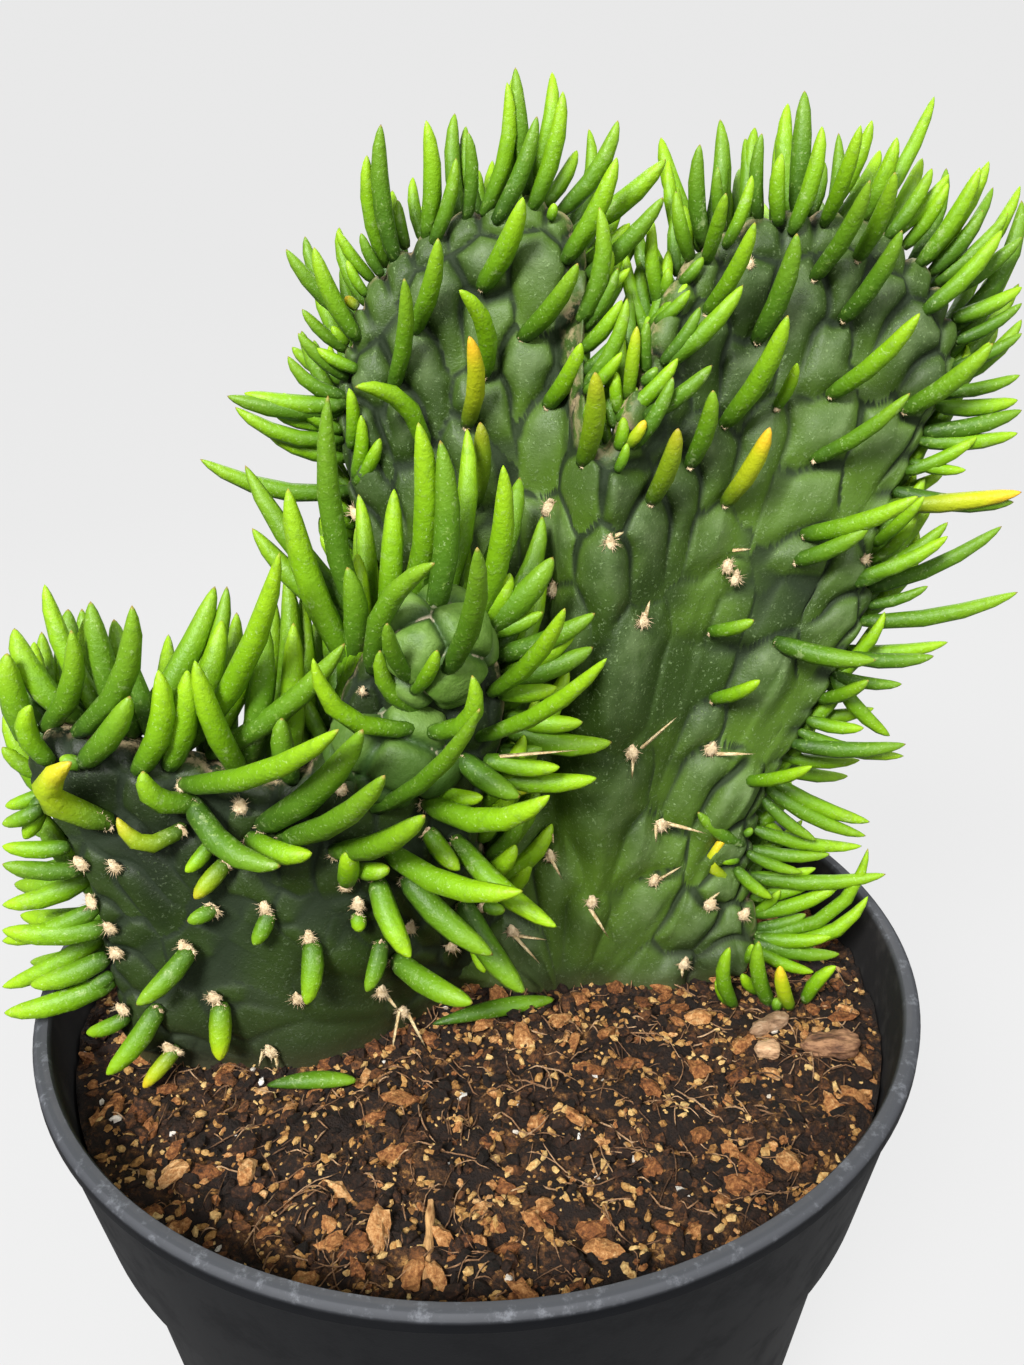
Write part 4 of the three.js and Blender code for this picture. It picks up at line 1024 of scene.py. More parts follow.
def relief(crest, points, heads):  # height of drop-shaped tubercles with creases between, and the creases
    u, v = np.array([h[0] for h in heads]), np.array([h[1] for h in heads])
    centre, facing, along = crest.local(u, v)
    fromEdge = edgeDistance(crest, centre)
    apart, tail, top = tubercleSize(fromEdge)
    fanX, fanZ = crest.spec["fan"]
    outward = centre - np.array([fanX, 0, fanZ])
    outward[:, 1] = 0
    outward = unit(outward - facing * np.sum(outward * facing, axis=1, keepdims=True))
    tailFrom, tailOver = tubercle["tailFrom"]
    along = unit(along + (outward - along) * np.clip((fromEdge - tailFrom) / tailOver, 0, 1)[:, None])
    flat = points.reshape(-1, 3)
    first, second = np.full(len(flat), 9.0), np.full(len(flat), 9.0)
    high, fade, width = np.zeros(len(flat)), np.zeros(len(flat)), np.ones(len(flat))
    least, more = tubercle["uneven"]
    narrowest, wider = tubercle["round"]
    for i in range(len(heads)):
        uneven = least + more * float(draw(crest.spec["set"] + 40, u[i] * 97 + v[i] * 31))
        wide = apart[i] * tubercle["wide"] * uneven
        start = centre[i] - along[i] * wide * tubercle["start"]
        near = np.flatnonzero(np.linalg.norm(flat - start, axis=1) < tail[i] + wide + 5)
        d = flat[near] - start
        d = d - facing[i] * (d @ facing[i])[:, None] * 0.5
        down = np.clip(-(d @ along[i]), 0, tail[i])
        q = down / tail[i]
        apartNow = np.linalg.norm(d + along[i] * down[:, None], axis=1)
        inside = apartNow - wide * (1 - tubercle["taper"] * q)
        rise = crest.spec["relief"] * top[i] * (1 - q) ** 0.9
        closer = inside < first[near]
        second[near] = np.where(closer, first[near], np.minimum(second[near], inside))
        first[near] = np.where(closer, inside, first[near])
        high[near] = np.where(closer, rise, high[near])
        fade[near] = np.where(closer, 1 - q, fade[near])
        dome = wide * (narrowest + wider * apart[i]) * (1 - tubercle["narrow"] * q)
        width[near] = np.where(closer, dome, width[near])
    gap = second - first
    pillow = np.sin(np.pi / 2 * np.clip(gap / width, 0, 1))
    inwards, over = tubercle["skirt"]
    skirt = 1 - ease(np.clip((first + inwards) / over, 0, 1))
    high = high * pillow * skirt
    thin = (1 - np.clip(gap / tubercle["crease"], 0, 1)) ** 1.1
    crease = thin * np.clip(1.3 - first / 3, 0, 1) * (0.15 + 0.85 * fade)
    return high.reshape(points.shape[:-1]), crease.reshape(points.shape[:-1])


def soften(grid, away):  # blurs a sheet's height along its foot, where the columns crowd
    for step in range(12):
        sides = (np.roll(grid, 1, axis=1) + np.roll(grid, -1, axis=1)) / 2
        sides[:, 0], sides[:, -1] = grid[:, 0], grid[:, -1]
        strong = (away > 0.62 + step * 0.03)[:, None]
        grid = np.where(strong, (grid + sides) / 2, grid)
    return grid


sheet = {
    "shares": [0, 0.28, 0.84, 1],  # shares of the rows, and v there
    "places": [1, 0.72, 0.3],
    "overlap": 0.02,
    "inset": 0.9,
    "groove": 0.55,
    "ray": {"across": 9, "along": 38, "seed": 13, "height": 0.55},
    "waves": [(0.3, 16, 11), (0.1, 4, 12)],  # height, size and seed
    "under": 0.35,
    "below": [9, 5, 2],
    "cap": 2.2,
}


def crestSide(crest, side, columns, rows, name):
    own = areoles(crest, side)
    other = [h for h in areoles(crest, -side) if abs(h[1]) < 0.34]
    u = np.linspace(0, 1, columns)
    last = -sheet["overlap"] if side > 0 else 0
    v = side * np.interp(np.linspace(0, 1, rows), sheet["shares"], sheet["places"] + [last])
    uu, vv = np.meshgrid(u, v)
    points, facings = crest.skin(uu, vv)
    high, crease = relief(crest, points, own + other)
    calmFrom, calmOver = tubercle["calmFrom"]
    crease = crease * (1 - tubercle["calm"] * ease((edgeDistance(crest, points) - calmFrom) / calmOver))
    high = soften(high - sheet["groove"] * crest.spec["relief"] * crease, np.abs(v))
    fanX, fanZ = crest.spec["fan"]
    turn = np.arctan2(points[..., 2] - fanZ, points[..., 0] - fanX)
    out = np.hypot(points[..., 0] - fanX, points[..., 2] - fanZ)
    rays = sheet["ray"]
    ray = smoothNoise(np.stack([turn * rays["across"], out / rays["along"], 0 * turn], -1), 1, rays["seed"])
    wave = sum(height * smoothNoise(points, size, seed) for height, size, seed in sheet["waves"])
    wave += rays["height"] * ray * np.clip((np.abs(vv) - 0.35) / 0.2, 0, 1)
    under = sheet["under"] * (vv < -0.001) if side > 0 else 0
    points = points + facings * (high - sheet["inset"] + wave - under)[..., None]
    points[..., 2] = np.maximum(points[..., 2], stemFoot)
    below = np.repeat(points[:1], 3, axis=0)
    below[:, :, 2] -= np.array(sheet["below"])[:, None]
    points = np.concatenate([below, points])
    away = edgeDistance(crest, points)
    ends = []
    for column, sign in ((0, 1), (-1, -1)):
        middle = points[:, column].copy()
        middle[:, 1] = crest.radials(0.0 if column == 0 else 1.0)[0][1]
        caps = []
        for turn in np.radians([30, 60, 90]):
            cap = middle + (points[:, column] - middle) * math.cos(turn)
            cap[:, 0] += sign * sheet["cap"] * math.sin(turn)
            caps.append(cap)
        ends.append(np.stack(caps if column else caps[::-1], 1))
    points = np.concatenate([ends[0], points, ends[1]], axis=1)

    def spread(layer, foot=3):  # the layer's edge values carried on to the foot and the ends
        return np.pad(layer, ((foot, 0), (3, 3)), mode="edge")

    layers = {"rise": spread(high), "crease": spread(crease), "away": spread(away, 0), "ray": spread(ray)}
    return loft(name, points, layers, inwards=side > 0), own


skinShades = {  # deep and light flesh, then dark and pale bloom
    "crest skin": [
        (0.023, 0.048, 0.005), (0.066, 0.13, 0.01), (0.06, 0.102, 0.03), (0.125, 0.182, 0.07),
    ],
    # the low crest's skin: the same flesh and bloom painted darker, as painted shade on its shaded face
    "shaded skin": [
        (0.007, 0.014, 0.003), (0.019, 0.038, 0.004), (0.017, 0.03, 0.008), (0.036, 0.058, 0.017),
    ],
}


def skinFinish(name):
    darkFlesh, lightFlesh, darkBloom, paleBloom = skinShades[name]
    f = Finish(name, Specular_IOR_Level=0.32)
    rise = f.layer("rise").between(0.2, 2.2)
    crease = f.layer("crease")
    away = f.layer("away")
    broad = f.noise(22, 3, 0.5)
    cloud = f.noise(4.5, 4, 0.6)
    speck = f.noise(0.6, 3, 0.7).between(0.57, 0.68)
    grain = f.noise(0.45, 3, 0.65)
    deep = f.mix(broad.between(0.38, 0.62), darkFlesh, lightFlesh)
    bloom = f.mix(cloud.between(0.35, 0.7), darkBloom, paleBloom)
    deep = f.mix(f.layer("ray").between(-0.1, 0.5) * away.between(14, 30) * 0.8, deep, lightFlesh)
    share = (rise * 0.75 + broad * 0.4 - 0.2).most(0).least(1) * (0.4 + cloud * 0.8).least(1)
    colour = f.mix(share, deep, bloom)
    colour = f.mix(speck * 0.45, colour, tuple(1.7 * c + 0.015 for c in paleBloom))
    # the creases are mixed to near black: painted shade in the creases between the tubercles
    groove = crease.between(0.05, 0.6)
    colour = f.mix(groove * 0.9, colour, (0.007, 0.015, 0.004))
    base = f.axis(2)
    colour = f.mix((1 - base.between(0.101, 0.127)) * 0.45, colour, (0.026, 0.034, 0.014))
    colour = f.mix((1 - base.between(0.101, 0.107)) * 0.5, colour, (0.04, 0.034, 0.016))
    felt = (1 - away.between(1.0, 4.0)) * f.noise(2.0, 4, 0.7).between(0.42, 0.6)
    colour = f.mix(felt * 0.8, colour, (0.45, 0.34, 0.19))
    rough = 0.42 + cloud * 0.16 + groove * 0.3 + felt * 0.3
    return f.finish(colour, rough, grain * 0.5 + cloud * 0.9 + speck * 0.25, 0.3, 0.7)


big, low = Crest(bigCrest), Crest(lowCrest)
skins = {big: skinFinish("crest skin"), low: skinFinish("shaded skin")}
sides = [
    (big, -1, 640, 148, "big_crest_front"),
    (big, 1, 420, 90, "big_crest_back"),
    (low, -1, 420, 120, "low_crest_front"),
    (low, 1, 260, 70, "low_crest_back"),
]
crestOf = {name: crest for crest, side, columns, rows, name in sides}
heads = {}
for crest, side, columns, rows, name in sides:
    piece, heads[name] = crestSide(crest, side, columns, rows, name)
    placeOn(piece, "cactus_flesh", skins[crest], "crested_cactus")
print("crests are made")

# the tight head in front of the big crest
headLook = {"slope": 5, "height": 2.0, "round": 2.4, "inset": 0.9, "wave": (0.2, 4, 15)}
goldenTurn = 2.399963


def spiral(count, turn=0.0):  # directions spread evenly over a ball
    n = np.arange(count)
    z = 1 - 2 * (n + 0.5) / count
    turn = n * goldenTurn + turn
    ring = np.sqrt(1 - z * z)
    return np.stack([ring * np.cos(turn), ring * np.sin(turn), z], -1)


def makeHead(spec):
    piece, shape = ball(spec["name"], spec["fine"] - (0))
    facing = unit(shape)
    points = facing * spec["radii"] + spec["centre"]
    tops = spiral(spec["count"], spec["turn"]) * spec["radii"] + spec["centre"]
    far = np.sort(np.linalg.norm(points[:, None] - tops[None], axis=2), axis=1)
    rise = np.minimum(1, (far[:, 1] - far[:, 0]) / headLook["slope"])
    high = headLook["height"] * (1 - (1 - rise) ** headLook["round"])
    height, size, seed = headLook["wave"]
    out = high - headLook["inset"] + height * smoothNoise(points, size, seed)
    writePoints(piece, points + facing * out[:, None])
    paintPoints(piece, "groove", 1 - rise)
    smooth(piece)
    return piece


def headFinish():
    f = Finish("young skin", Specular_IOR_Level=0.32)
    groove = f.layer("groove")
    cloud = f.noise(3.5, 4, 0.6)
    colour = f.mix(cloud.between(0.3, 0.7), (0.065, 0.135, 0.014), (0.135, 0.23, 0.045))
    colour = f.mix(1 - f.axis(2).between(0.152, 0.168), colour, (0.03, 0.07, 0.008))
    # the grooves between the head's tubercles are painted darker, as painted shade
    colour = f.mix(groove.between(0.55, 0.95) * 0.8, colour, (0.02, 0.05, 0.01))
    wool = groove.between(0.9, 0.98) * f.noise(3, 3, 0.6).between(0.5, 0.62)
    colour = f.mix(wool * 0.8, colour, (0.6, 0.5, 0.36))
    return f.finish(colour, 0.44 + cloud * 0.16, cloud + f.noise(0.5, 3, 0.6) * 0.6, 0.3, 0.7)


young = headFinish()
for spec in headShapes:
    placeOn(makeHead(spec), "cactus_flesh", young, "crested_cactus")
print("head is made")

# leaves
leaf = {
    "segments": 8,
    "profile": [  # share of the length, and of the half thickness, from the sunk root to the tip
        (-0.04, 0), (-0.01, 0.6), (0.1, 0.88), (0.38, 1.0), (0.64, 0.93),
        (0.84, 0.69), (0.935, 0.41), (0.98, 0.18), (1, 0),
    ],
    "edgeTurns": [-8, -38, -70, 14, 45],  # degrees round the edge, from the back to the front
    "edgeStep": 4.2,
    "edgeRoom": 2.7,
    "steep": 40,  # front leaves past this turn are thinned by a draw
    "frontShort": 0.78,
    "headRoom": 19,
    "headSlim": 0.8,
    "soilLean": 6,
    "clear": 0.4,
    "lean": {"rimLeaves": 10, "rearLeaves": -14, "faceLeaves": 30, "head": 28},
    "band": {"rimLeaves": (-0.28, 0.04), "rearLeaves": (0.08, 0.3), "faceLeaves": (-0.97, -0.2)},
    "longest": 40,
}


def leafRow(root, heading, length, bow, seed, width, old=0.0, sag=(0, -0.3, -1.0)):
    thickness = width * min(1, 0.5 + length / 30) * (0.88 + 0.24 * float(draw(91, seed)))
    heading = unit(np.asarray(heading, float))
    sag = np.array(sag)
    return {
        "root": root, "heading": heading, "length": length, "bow": bow,
        "sag": unit(sag - heading * (heading @ sag)), "thickness": thickness, "seed": seed, "old": old,
    }


def leafPlace(row, t):  # the chord from root to tip, bowed downwards so that the leaf curls up
    t = np.asarray(t, float)[..., None]
    swell = 4 * t * (1 - t)
    return row["root"] + row["heading"] * row["length"] * t + row["sag"] * row["bow"] * row["length"] * swell


def isClear(row):
    for t in (0.15, 0.3, 0.45, 0.6, 0.8, 1):
        p = leafPlace(row, t)
        radius = 0.4 if t > 0.9 else row["thickness"] * 0.55
        out = math.hypot(p[0], p[1])
        rises = row["heading"][2] > 0.3 and t < 0.5  # such a leaf may stand on the soil
        if not rises and out < pot["rimIn"] and p[2] - radius < soilTop(p[0], p[1]) + leaf["clear"]:
            return False
        inWall = max(0, pot["bodyIn"] - out, out - pot["rimOut"])
        if math.hypot(inWall, max(0, p[2] - pot["rimTop"])) < radius + leaf["clear"]:
            return False
    return True


def towards(root, x, y, lean):  # the point seen at a place of the picture, at a lean to the front of a root
    tip = behindPixel(x, y, root[1])
    for _ in range(12):
        tip = behindPixel(x, y, root[1] - np.linalg.norm(tip - root) * math.sin(math.radians(lean)))
    return tip


def onSoil(x, y):  # the point of the soil that shows at a place of the picture
    near, far = behindPixel(x, y, -100), behindPixel(x, y, 100)
    share = (soil["level"] + 1 - near[2]) / (far[2] - near[2])
    return near + (far - near) * share


def seenLeaf(root, row, lean, seed, width):
    x, y, tipX, tipY, bow, old = (list(row) + [0.06, 0.0][len(row) - 4:])[:6]
    lean = lean + 12 * (float(draw(24, seed)) - 0.5)
    tip = towards(root, tipX, tipY, lean)
    way = tip - root
    length = min(leaf["longest"], np.linalg.norm(way))
    sag = np.cross(cameraAxes()[2], way)  # the curve shows in the picture
    return leafRow(root, way, length, bow, seed, width, old, sag if sag[2] < 0 else -sag)


def crestLeaves(crest):
    spec, rows = crest.spec, []
    for group in ("rimLeaves", "rearLeaves", "faceLeaves"):
        for n, row in enumerate(spec[group]):
            point = crest.skin(*crest.seenPlace(row[0], row[1], *leaf["band"][group]))[0]
            seed = 40 + n + 200 * len(group)
            width = spec["leafWidth"] * (1.08 if group == "faceLeaves" else 1)
            rows.append(seenLeaf(point, row, leaf["lean"][group], seed, width))
    for n, row in enumerate(spec["soilLeaves"]):
        root = onSoil(row[0], row[1])
        rows.append(seenLeaf(root, row, leaf["soilLean"], 700 + n, spec["leafWidth"] * 1.15))
    seenRoots = np.array([row["root"] for row in rows])
    count = round(crest.walked[-1] / leaf["edgeStep"])
    for k, turn in enumerate(leaf["edgeTurns"]):
        for i in range(count):
            seed = spec["set"] * 1000 + k * 200 + i
            u = (i + 0.5 + (float(draw(11, seed)) - 0.5) * 0.6) / count
            point, facing = crest.skin(u, -0.3 * turn / 90)
            near = np.linalg.norm(seenRoots - point, axis=1).min()
            space, most = spec["frontSpace"]
            onHead = np.linalg.norm(point - headShapes[0]["centre"]) < leaf["headRoom"]
            if turn > 0 and (near < space or (crest is low and onHead)):
                continue
            if near < leaf["edgeRoom"] or (turn > leaf["steep"] and float(draw(19, seed)) > most):
                continue
            reach = float(curvePoints(crest.reach, crest.at(u))[0])
            length = reach * (0.75 + 0.3 * float(draw(12, seed))) * (leaf["frontShort"] if turn > 0 else 1)
            heading = facing * np.array([1, 0.7, 1]) + np.array([
                (float(draw(13, seed)) - 0.5) * 0.45,
                (float(draw(14, seed)) - 0.5) * 0.3,
                0.2 + (float(draw(15, seed)) - 0.5) * 0.45,
            ])
            bow = 0.02 + 0.12 * float(draw(16, seed))
            rows.append(leafRow(point, heading, length, bow, seed, spec["leafWidth"]))
    for n, (u, v, kind) in enumerate(heads["big_crest_back" if crest is big else "low_crest_back"]):
        k = int(kind[3:])
        if k > 3 or float(draw(21, spec["set"] * 500 + n)) > 0.75 - 0.17 * k:
            continue
        point, facing, along = crest.local(u, v)
        heading = facing * 0.75 + along * 0.8 + np.array([0, 0, 0.35])
        rows.append(leafRow(point, heading, 13 + 8 * float(draw(22, n)), 0.1, n, spec["leafWidth"]))
    return [row for row in rows if isClear(row)]


def headLeafRows():
    balls = [spiral(3000) * spec["radii"] + spec["centre"] for spec in headShapes]
    points = np.concatenate(balls + [low.grid[(low.gridV > -0.6) & (low.gridV < 0.2)]])
    shown, depth = seenAt(points)
    rows = []
    for n, row in enumerate(headLeaves):
        far = np.hypot(shown[:, 0] - row[0], shown[:, 1] - row[1])
        best = np.argmin(far + 0.4 * depth)
        width = lowCrest["leafWidth"] * leaf["headSlim"]
        rows.append(seenLeaf(points[best], row, leaf["lean"]["head"], 900 + n, width))
    return rows


def makeLeaves(name, rows):
    profile = np.array(leaf["profile"])
    rings = len(profile) - 1
    model, shape = ball(segments=leaf["segments"], rings=rings)
    up, around = upAndAround(shape)
    ring = np.rint(up * rings).astype(int)
    along, wide = profile[ring, 0], profile[ring, 1]
    places, low, high = [], np.array(cadBox[0]) * 1000 + 0.15, np.array(cadBox[1]) * 1000 - 0.15
    for row in rows:
        for attempt in range(16):
            spine = leafPlace(row, along)
            ahead = unit(leafPlace(row, along + 0.02) - leafPlace(row, along - 0.02))
            across = unit(np.cross([0.3, -1, 0.2], ahead))
            over = np.cross(ahead, across)
            ringOut = across * np.cos(around)[:, None] + 0.92 * over * np.sin(around)[:, None]
            points = spine + ringOut * (row["thickness"] / 2 * wide)[:, None]
            if (points > low).all() and (points < high).all():
                break
            row["length"] *= 0.94
        places.append(points)
    seeds = np.array([row["seed"] for row in rows])
    layers = {
        "tone": draw(96, seeds),
        "old": np.array([row["old"] for row in rows]),
        "along": np.tile(along, len(rows)).reshape(len(rows), -1),
    }
    return copies(name, model, np.array(places), layers)


def leafFinish():
    f = Finish("needle leaf", Specular_IOR_Level=0.32)
    along, tone, old = f.layer("along"), f.layer("tone"), f.layer("old")
    cloud = f.noise(3.2, 4, 0.6)
    fine = f.noise(0.8, 3, 0.65)
    # both ramps run from a dark root to a light tip; the dark root end is painted shade where the leaf meets
    # the skin
    fresh = f.ramp(along + (cloud - 0.5) * 0.25, [
        (0.0, (0.035, 0.09, 0.004)), (0.2, (0.085, 0.2, 0.002)),
        (0.6, (0.165, 0.34, 0.002)), (0.95, (0.26, 0.45, 0.006)),
    ])
    dull = f.ramp(along + (cloud - 0.5) * 0.3, [
        (0.0, (0.022, 0.06, 0.004)), (0.5, (0.065, 0.16, 0.004)), (0.95, (0.13, 0.26, 0.008)),
    ])
    colour = f.mix(tone.between(0.35, 0.95), fresh, dull)
    colour = f.mix(fine.between(0.58, 0.7) * 0.3, colour, (0.36, 0.5, 0.12))
    colour = f.mix(f.noise(0.5, 2, 0.6).between(0.64, 0.7) * 0.3, colour, (0.5, 0.6, 0.3))
    colour = f.mix(f.noise(1.6, 4, 0.7).between(0.45, 0.7) * 0.35, colour, (0.05, 0.13, 0.003))
    scuff = f.noise(2.6, 6, 0.78).between(0.57, 0.66) * f.noise(9, 2, 0.5).between(0.45, 0.6)
    colour = f.mix(scuff * 0.4, colour, (0.36, 0.44, 0.2))
    aged = f.mix(along.between(0.65, 1.0), (0.4, 0.44, 0.008), (0.75, 0.42, 0.02))
    colour = f.mix(old * along.between(-0.1, 0.75), colour, aged)
    colour = f.mix(along.between(0.97, 1.0) * tone.between(0.2, 0.6) * 0.8, colour, (0.3, 0.14, 0.05))
    return f.finish(colour, 0.42 + cloud * 0.16, cloud + fine * 0.5, 0.3, 0.7)


leafGreen = leafFinish()
bigRows, lowRows = crestLeaves(big), crestLeaves(low) + headLeafRows()
for name, rows in (("big_crest_leaves", bigRows), ("low_crest_leaves", lowRows)):
    placeOn(makeLeaves(name, rows), "cactus_flesh", leafGreen, "crested_cactus")
print("leaves are made:", len(bigRows), len(lowRows))

# wool and spines at the areoles
wool = {
    "size": 1.0,
    "hairs": 34,
    "hair": (1.35, 0.06),
    "spine": 0.4,
    "kinds": {"bare": 0.95, "leaf": 0.34, "lowLeaf": 0.75},
    "rows": (0.35, 0.35),
    "rowShare": 0.25,
    "fromEdge": 0.16,
}


def tuftPlaces():
    places = []
    for name, crest in crestOf.items():
        for n, (u, v, kind) in enumerate(heads[name]):
            frontRow = kind[:3] == "row" and name.endswith("front")
            if abs(v) < wool["fromEdge"] or (frontRow and float(draw(70, n)) > wool["rowShare"]):
                continue
            point, facing, along = crest.local(u, v)
            if kind == "leaf" and crest is low:
                kind = "lowLeaf"
            least, more = wool["rows"]
            size = wool["kinds"].get(kind, least + more * float(draw(71, n)))
            places.append((point + facing * 0.7 - along * 0.2, facing, along, size, len(places)))
    return places


def makeTufts(places):
    model, shape = ball(fine=2)
    sets = []
    for point, facing, along, size, n in places:
        side = np.cross(facing, along)
        rough = 0.72 + 0.5 * draw(72, np.arange(len(shape)) + 60 * n)
        p = shape * rough[:, None] * wool["size"] * size
        spread = (0.8 + 0.4 * float(draw(73, n))) * (1 - 0.3 * shape[:, 1:2])
        sets.append(point + side * p[:, :1] * spread + along * p[:, 1:2] * 1.45 + facing * p[:, 2:] * 0.5)
    return copies("wool_tufts", model, np.array(sets), {"tone": draw(74, np.arange(len(places)))})


def needle(start, heading, length, radius, turn=0.0):  # points of a three-sided needle
    heading = unit(np.asarray(heading, float))
    across = unit(np.cross(heading, [0.31, 0.2, 0.93]))
    over = np.cross(heading, across)
    angles = turn + np.array([0, 2, 4]) * math.pi / 3
    ring = across * np.cos(angles)[:, None] + over * np.sin(angles)[:, None]
    tip = start + heading * length
    middle = start + heading * length * 0.5
    return np.vstack([start + ring * radius, middle + ring * radius * 0.75, [tip]])


def needleModel():
    deselectAll()
    bpy.ops.mesh.primitive_cone_add(vertices=3, radius1=1, radius2=0.6, depth=1, end_fill_type="NOTHING")
    model = bpy.context.object
    bpy.ops.object.mode_set(mode="EDIT")
    bpy.ops.mesh.select_all(action="DESELECT")
    bpy.ops.object.mode_set(mode="OBJECT")
    for vertex in model.data.vertices:
        vertex.select = vertex.co.z > 0
    bpy.ops.object.mode_set(mode="EDIT")
    bpy.ops.mesh.select_mode(type="VERT")
    bpy.ops.mesh.extrude_region_move(TRANSFORM_OT_translate={"value": (0, 0, 1)})
    bpy.ops.mesh.merge(type="CENTER")
    bpy.ops.object.mode_set(mode="OBJECT")
    order = []
    for x, y, z in readPoints(model):
        third = round((math.atan2(y, x) % (2 * math.pi)) / (2 * math.pi / 3)) % 3
        order.append(6 if z > 1 else third + (3 if z > 0 else 0))
    return model, np.array(order)


def makeNeedles(name, sets):
    model, order = needleModel()
    return copies(name, model, np.array(sets)[:, order])


def makeHairs(places):
    sets = []
    for point, facing, along, size, n in places:
        side = np.cross(facing, along)
        for k in range(wool["hairs"]):
            seed = n * 40 + k
            spread = 2 * math.pi * float(draw(75, seed))
            out = 0.5 + 1.3 * float(draw(76, seed))
            way = side * math.cos(spread) + along * math.sin(spread)
            length = wool["hair"][0] * size * (0.5 + 0.9 * float(draw(77, seed)))
            sets.append(needle(point + way * 0.6 * size, facing * 0.7 + way * out, length, wool["hair"][1]))
    return makeNeedles("wool_hairs", sets)


def makeSpines():
    sets = []
    for crest in (big, low):
        for n, (x, y, tipX, tipY) in enumerate(crest.spec["spines"]):
            u, v = crest.seenPlace(x, y, -0.97, -0.2)
            point, facing, along = crest.local(u, v)
            root = point + facing * 0.6
            tip = towards(root, tipX, tipY, 28)
            length = np.linalg.norm(tip - root)
            sets.append(needle(root, tip - root, length, wool["spine"], float(draw(78, n))))
    return makeNeedles("spines", sets)


def fibreFinish(name, dark, pale):
    f = Finish(name, Roughness=0.9, Specular_IOR_Level=0.2)
    shade = f.noise(0.9, 4, 0.75)
    return f.finish(f.mix(shade.between(0.3, 0.7), dark, pale), None, shade, 0.5, 1.0)


places = tuftPlaces()
felt = fibreFinish("areole wool", (0.42, 0.3, 0.16), (0.78, 0.62, 0.4))
straw = fibreFinish("straw spine", (0.42, 0.28, 0.12), (0.75, 0.62, 0.36))
placeOn(makeTufts(places), "cactus_flesh", felt, "crested_cactus")
placeOn(makeHairs(places), "cactus_flesh", felt, "crested_cactus")
placeOn(makeSpines(), "cactus_flesh", straw, "crested_cactus")
print("wool and spines are made:", len(places))

# loose pieces on the soil

loosePieces = [
    {"node": "bark_chunk", "slot": "bark", "fine": 5, "rough": 0.22, "spots": 2.6, "turn": 4,
     "stops": [(0.35, (0.02, 0.01, 0.006)), (0.5, (0.13, 0.06, 0.03)), (0.62, (0.3, 0.16, 0.08))]},
    {"node": "bark_strip", "slot": "bark", "fine": 4, "rough": 0.2, "spots": 1.6, "turn": 30,
     "stops": [(0.3, (0.08, 0.04, 0.02)), (0.55, (0.3, 0.18, 0.1)), (0.75, (0.5, 0.36, 0.24))]},
    {"node": "stone_lump", "slot": "stone", "fine": 4, "rough": 0.25, "spots": 1.2, "turn": 0,
     "stops": [(0.3, (0.2, 0.1, 0.05)), (0.5, (0.5, 0.3, 0.16)), (0.75, (0.68, 0.46, 0.28))]},
]


def nodeBox(node):  # corners and middle of a node, in millimetres
    lowest, highest = (np.array(c) * 1000 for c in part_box(node))
    return lowest, highest, (lowest + highest) / 2


def keepIn(piece, points, lowest, highest, room=0.02):
    writePoints(piece, np.clip(points, lowest + room, highest - room))
    smooth(piece)
    return piece


def makeLump(spec):
    lowest, highest, middle = nodeBox(spec["node"])
    piece, points = ball(spec["node"] + "_fine", spec["fine"])
    points = np.sign(points) * np.abs(points) ** 0.8
    size = 1 + spec["rough"] * smoothNoise(points, 0.8, 81) + 0.12 * smoothNoise(points, 0.3, 82)
    points = points * size[:, None]
    half = (highest - lowest) / 2
    turn = math.radians(spec["turn"])
    across, along = np.array([math.cos(turn), math.sin(turn)]), np.array([-math.sin(turn), math.cos(turn)])
    points = points / np.abs(points).max(0)
    deep = half[1] * (1 if spec["turn"] < 10 else 0.55)
    flat = points[:, :1] * across * half[0] + points[:, 1:2] * along * deep
    return keepIn(piece, np.column_stack([flat, points[:, 2] * half[2]]) + middle, lowest, highest)


for spec in loosePieces:
    f = Finish(spec["node"].replace("_", " "), Specular_IOR_Level=0.3)
    shade = f.noise(spec["spots"], 5, 0.7, (0.5, 1.6, 1.6))
    finish = f.finish(f.ramp(shade, spec["stops"]), 0.6 + shade * 0.3, shade, 0.8, 1.0)
    placeOn(makeLump(spec), spec["slot"], finish, spec["node"])

fallen = [
    {"node": "fallen_leaf_front", "from": (-8.3, -13.8), "to": (13.2, -7.6), "thickness": 3.6},
    {"node": "fallen_leaf_left", "from": (-34, -27.2), "to": (-19.5, -26.4), "thickness": 3.2},
]


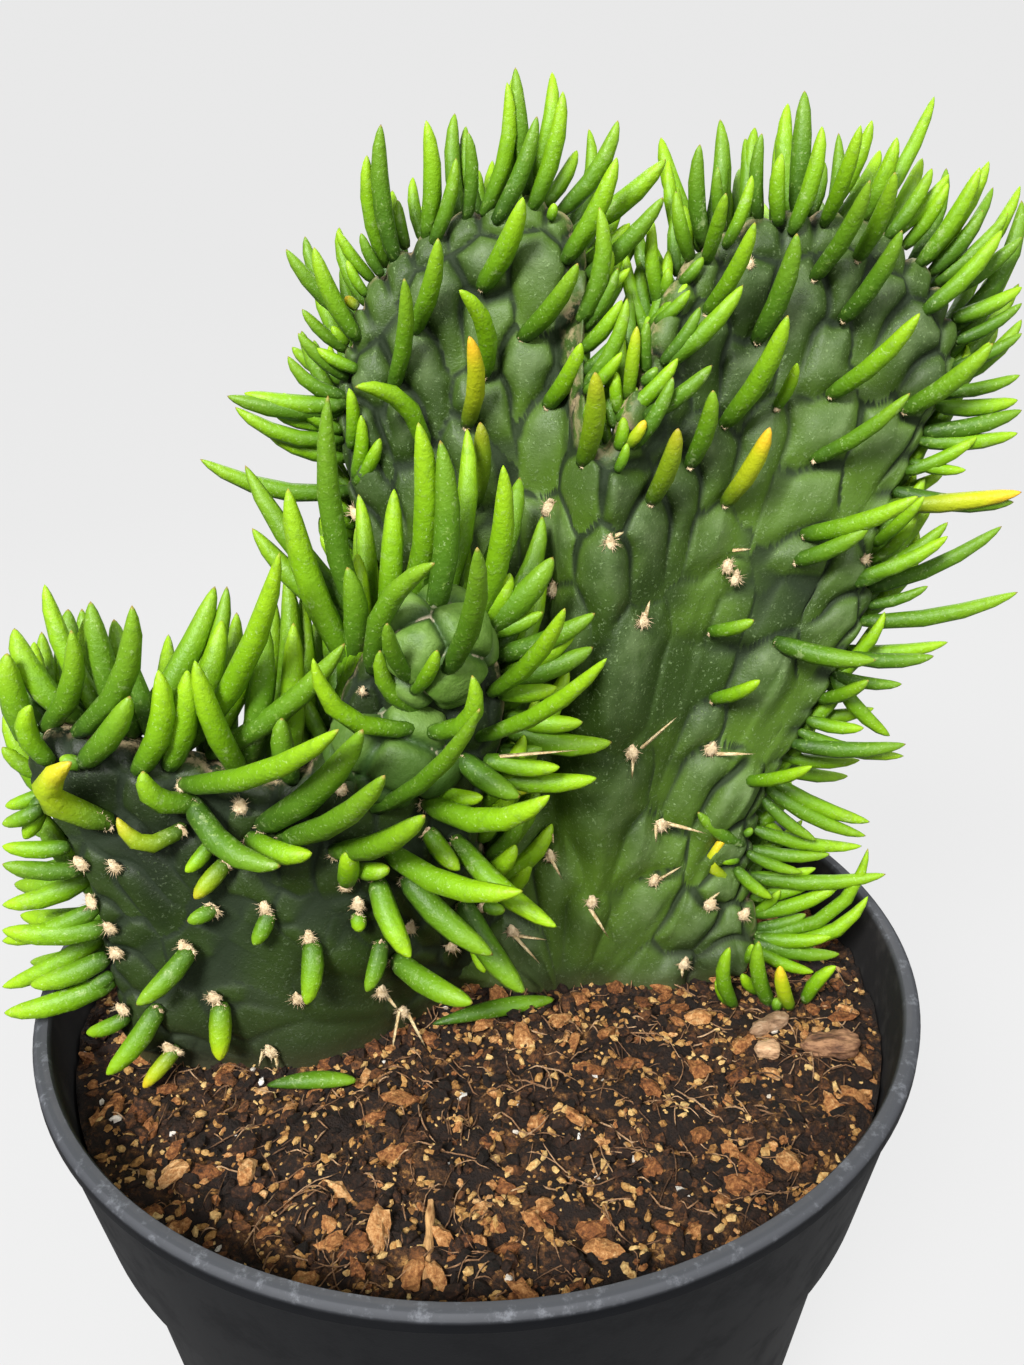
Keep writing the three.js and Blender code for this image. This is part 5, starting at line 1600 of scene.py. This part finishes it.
def makeFallen(spec):
    lowest, highest, middle = nodeBox(spec["node"])
    piece, points = ball(spec["node"] + "_fine", segments=20, rings=28)
    t, around = upAndAround(points)
    start, end = np.array(spec["from"]), np.array(spec["to"])
    way = end - start
    across = np.array([-way[1], way[0]]) / np.linalg.norm(way)
    profile = np.sin(np.pi * np.clip(t, 0, 1)) ** 0.55 * (0.8 + 0.35 * t) / 1.02
    half = spec["thickness"] / 2 * 0.97
    side = profile * half * np.cos(around)
    x = start[0] + way[0] * t + across[0] * side
    y = start[1] + way[1] * t + across[1] * side
    z = middle[2] - 0.6 + 1.2 * 4 * t * (1 - t) * 0.5 + profile * half * 0.86 * np.sin(around)
    z = z - z.min() + lowest[2] + 0.05
    for layer, values in {"along": t, "tone": 0 * t + 0.9, "old": 0 * t}.items():
        paintPoints(piece, layer, values)
    return keepIn(piece, np.column_stack([x, y, z]), lowest, highest)


for spec in fallen:
    placeOn(makeFallen(spec), "dropped_leaf", leafGreen, spec["node"])


def makeTwig():
    lowest, highest, middle = nodeBox("twig")
    piece, points = ball("twig_fine", segments=14, rings=40)
    t, around = upAndAround(points)
    half = 0.62 * np.clip(np.sin(np.pi * t), 0, 1) ** 0.25 * (1 + 0.2 * np.sin(23 * t))
    x = middle[0] - 0.4 * (0.5 - t) + half * np.cos(around)
    y = highest[1] + (lowest[1] - highest[1]) * t
    z = middle[2] + half * np.sin(around)
    return keepIn(piece, np.column_stack([x, y, z]), lowest, highest, 0.01)


f = Finish("dry twig", Specular_IOR_Level=0.3)
shade = f.noise(1.2, 4, 0.7, (2, 0.4, 2))
bark = f.ramp(shade, [(0.35, (0.2, 0.09, 0.03)), (0.6, (0.55, 0.32, 0.13))])
placeOn(makeTwig(), "bark", f.finish(bark, 0.8 + shade * 0.1, shade, 0.3), "twig")
print("loose pieces are made")

# sizes and the end

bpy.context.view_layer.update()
total = 0
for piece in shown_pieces():
    if piece.type == "MESH":
        piece.data.calc_loop_triangles()
        total += len(piece.data.loop_triangles)
        print(piece.name, len(piece.data.loop_triangles))
print("triangles", total)
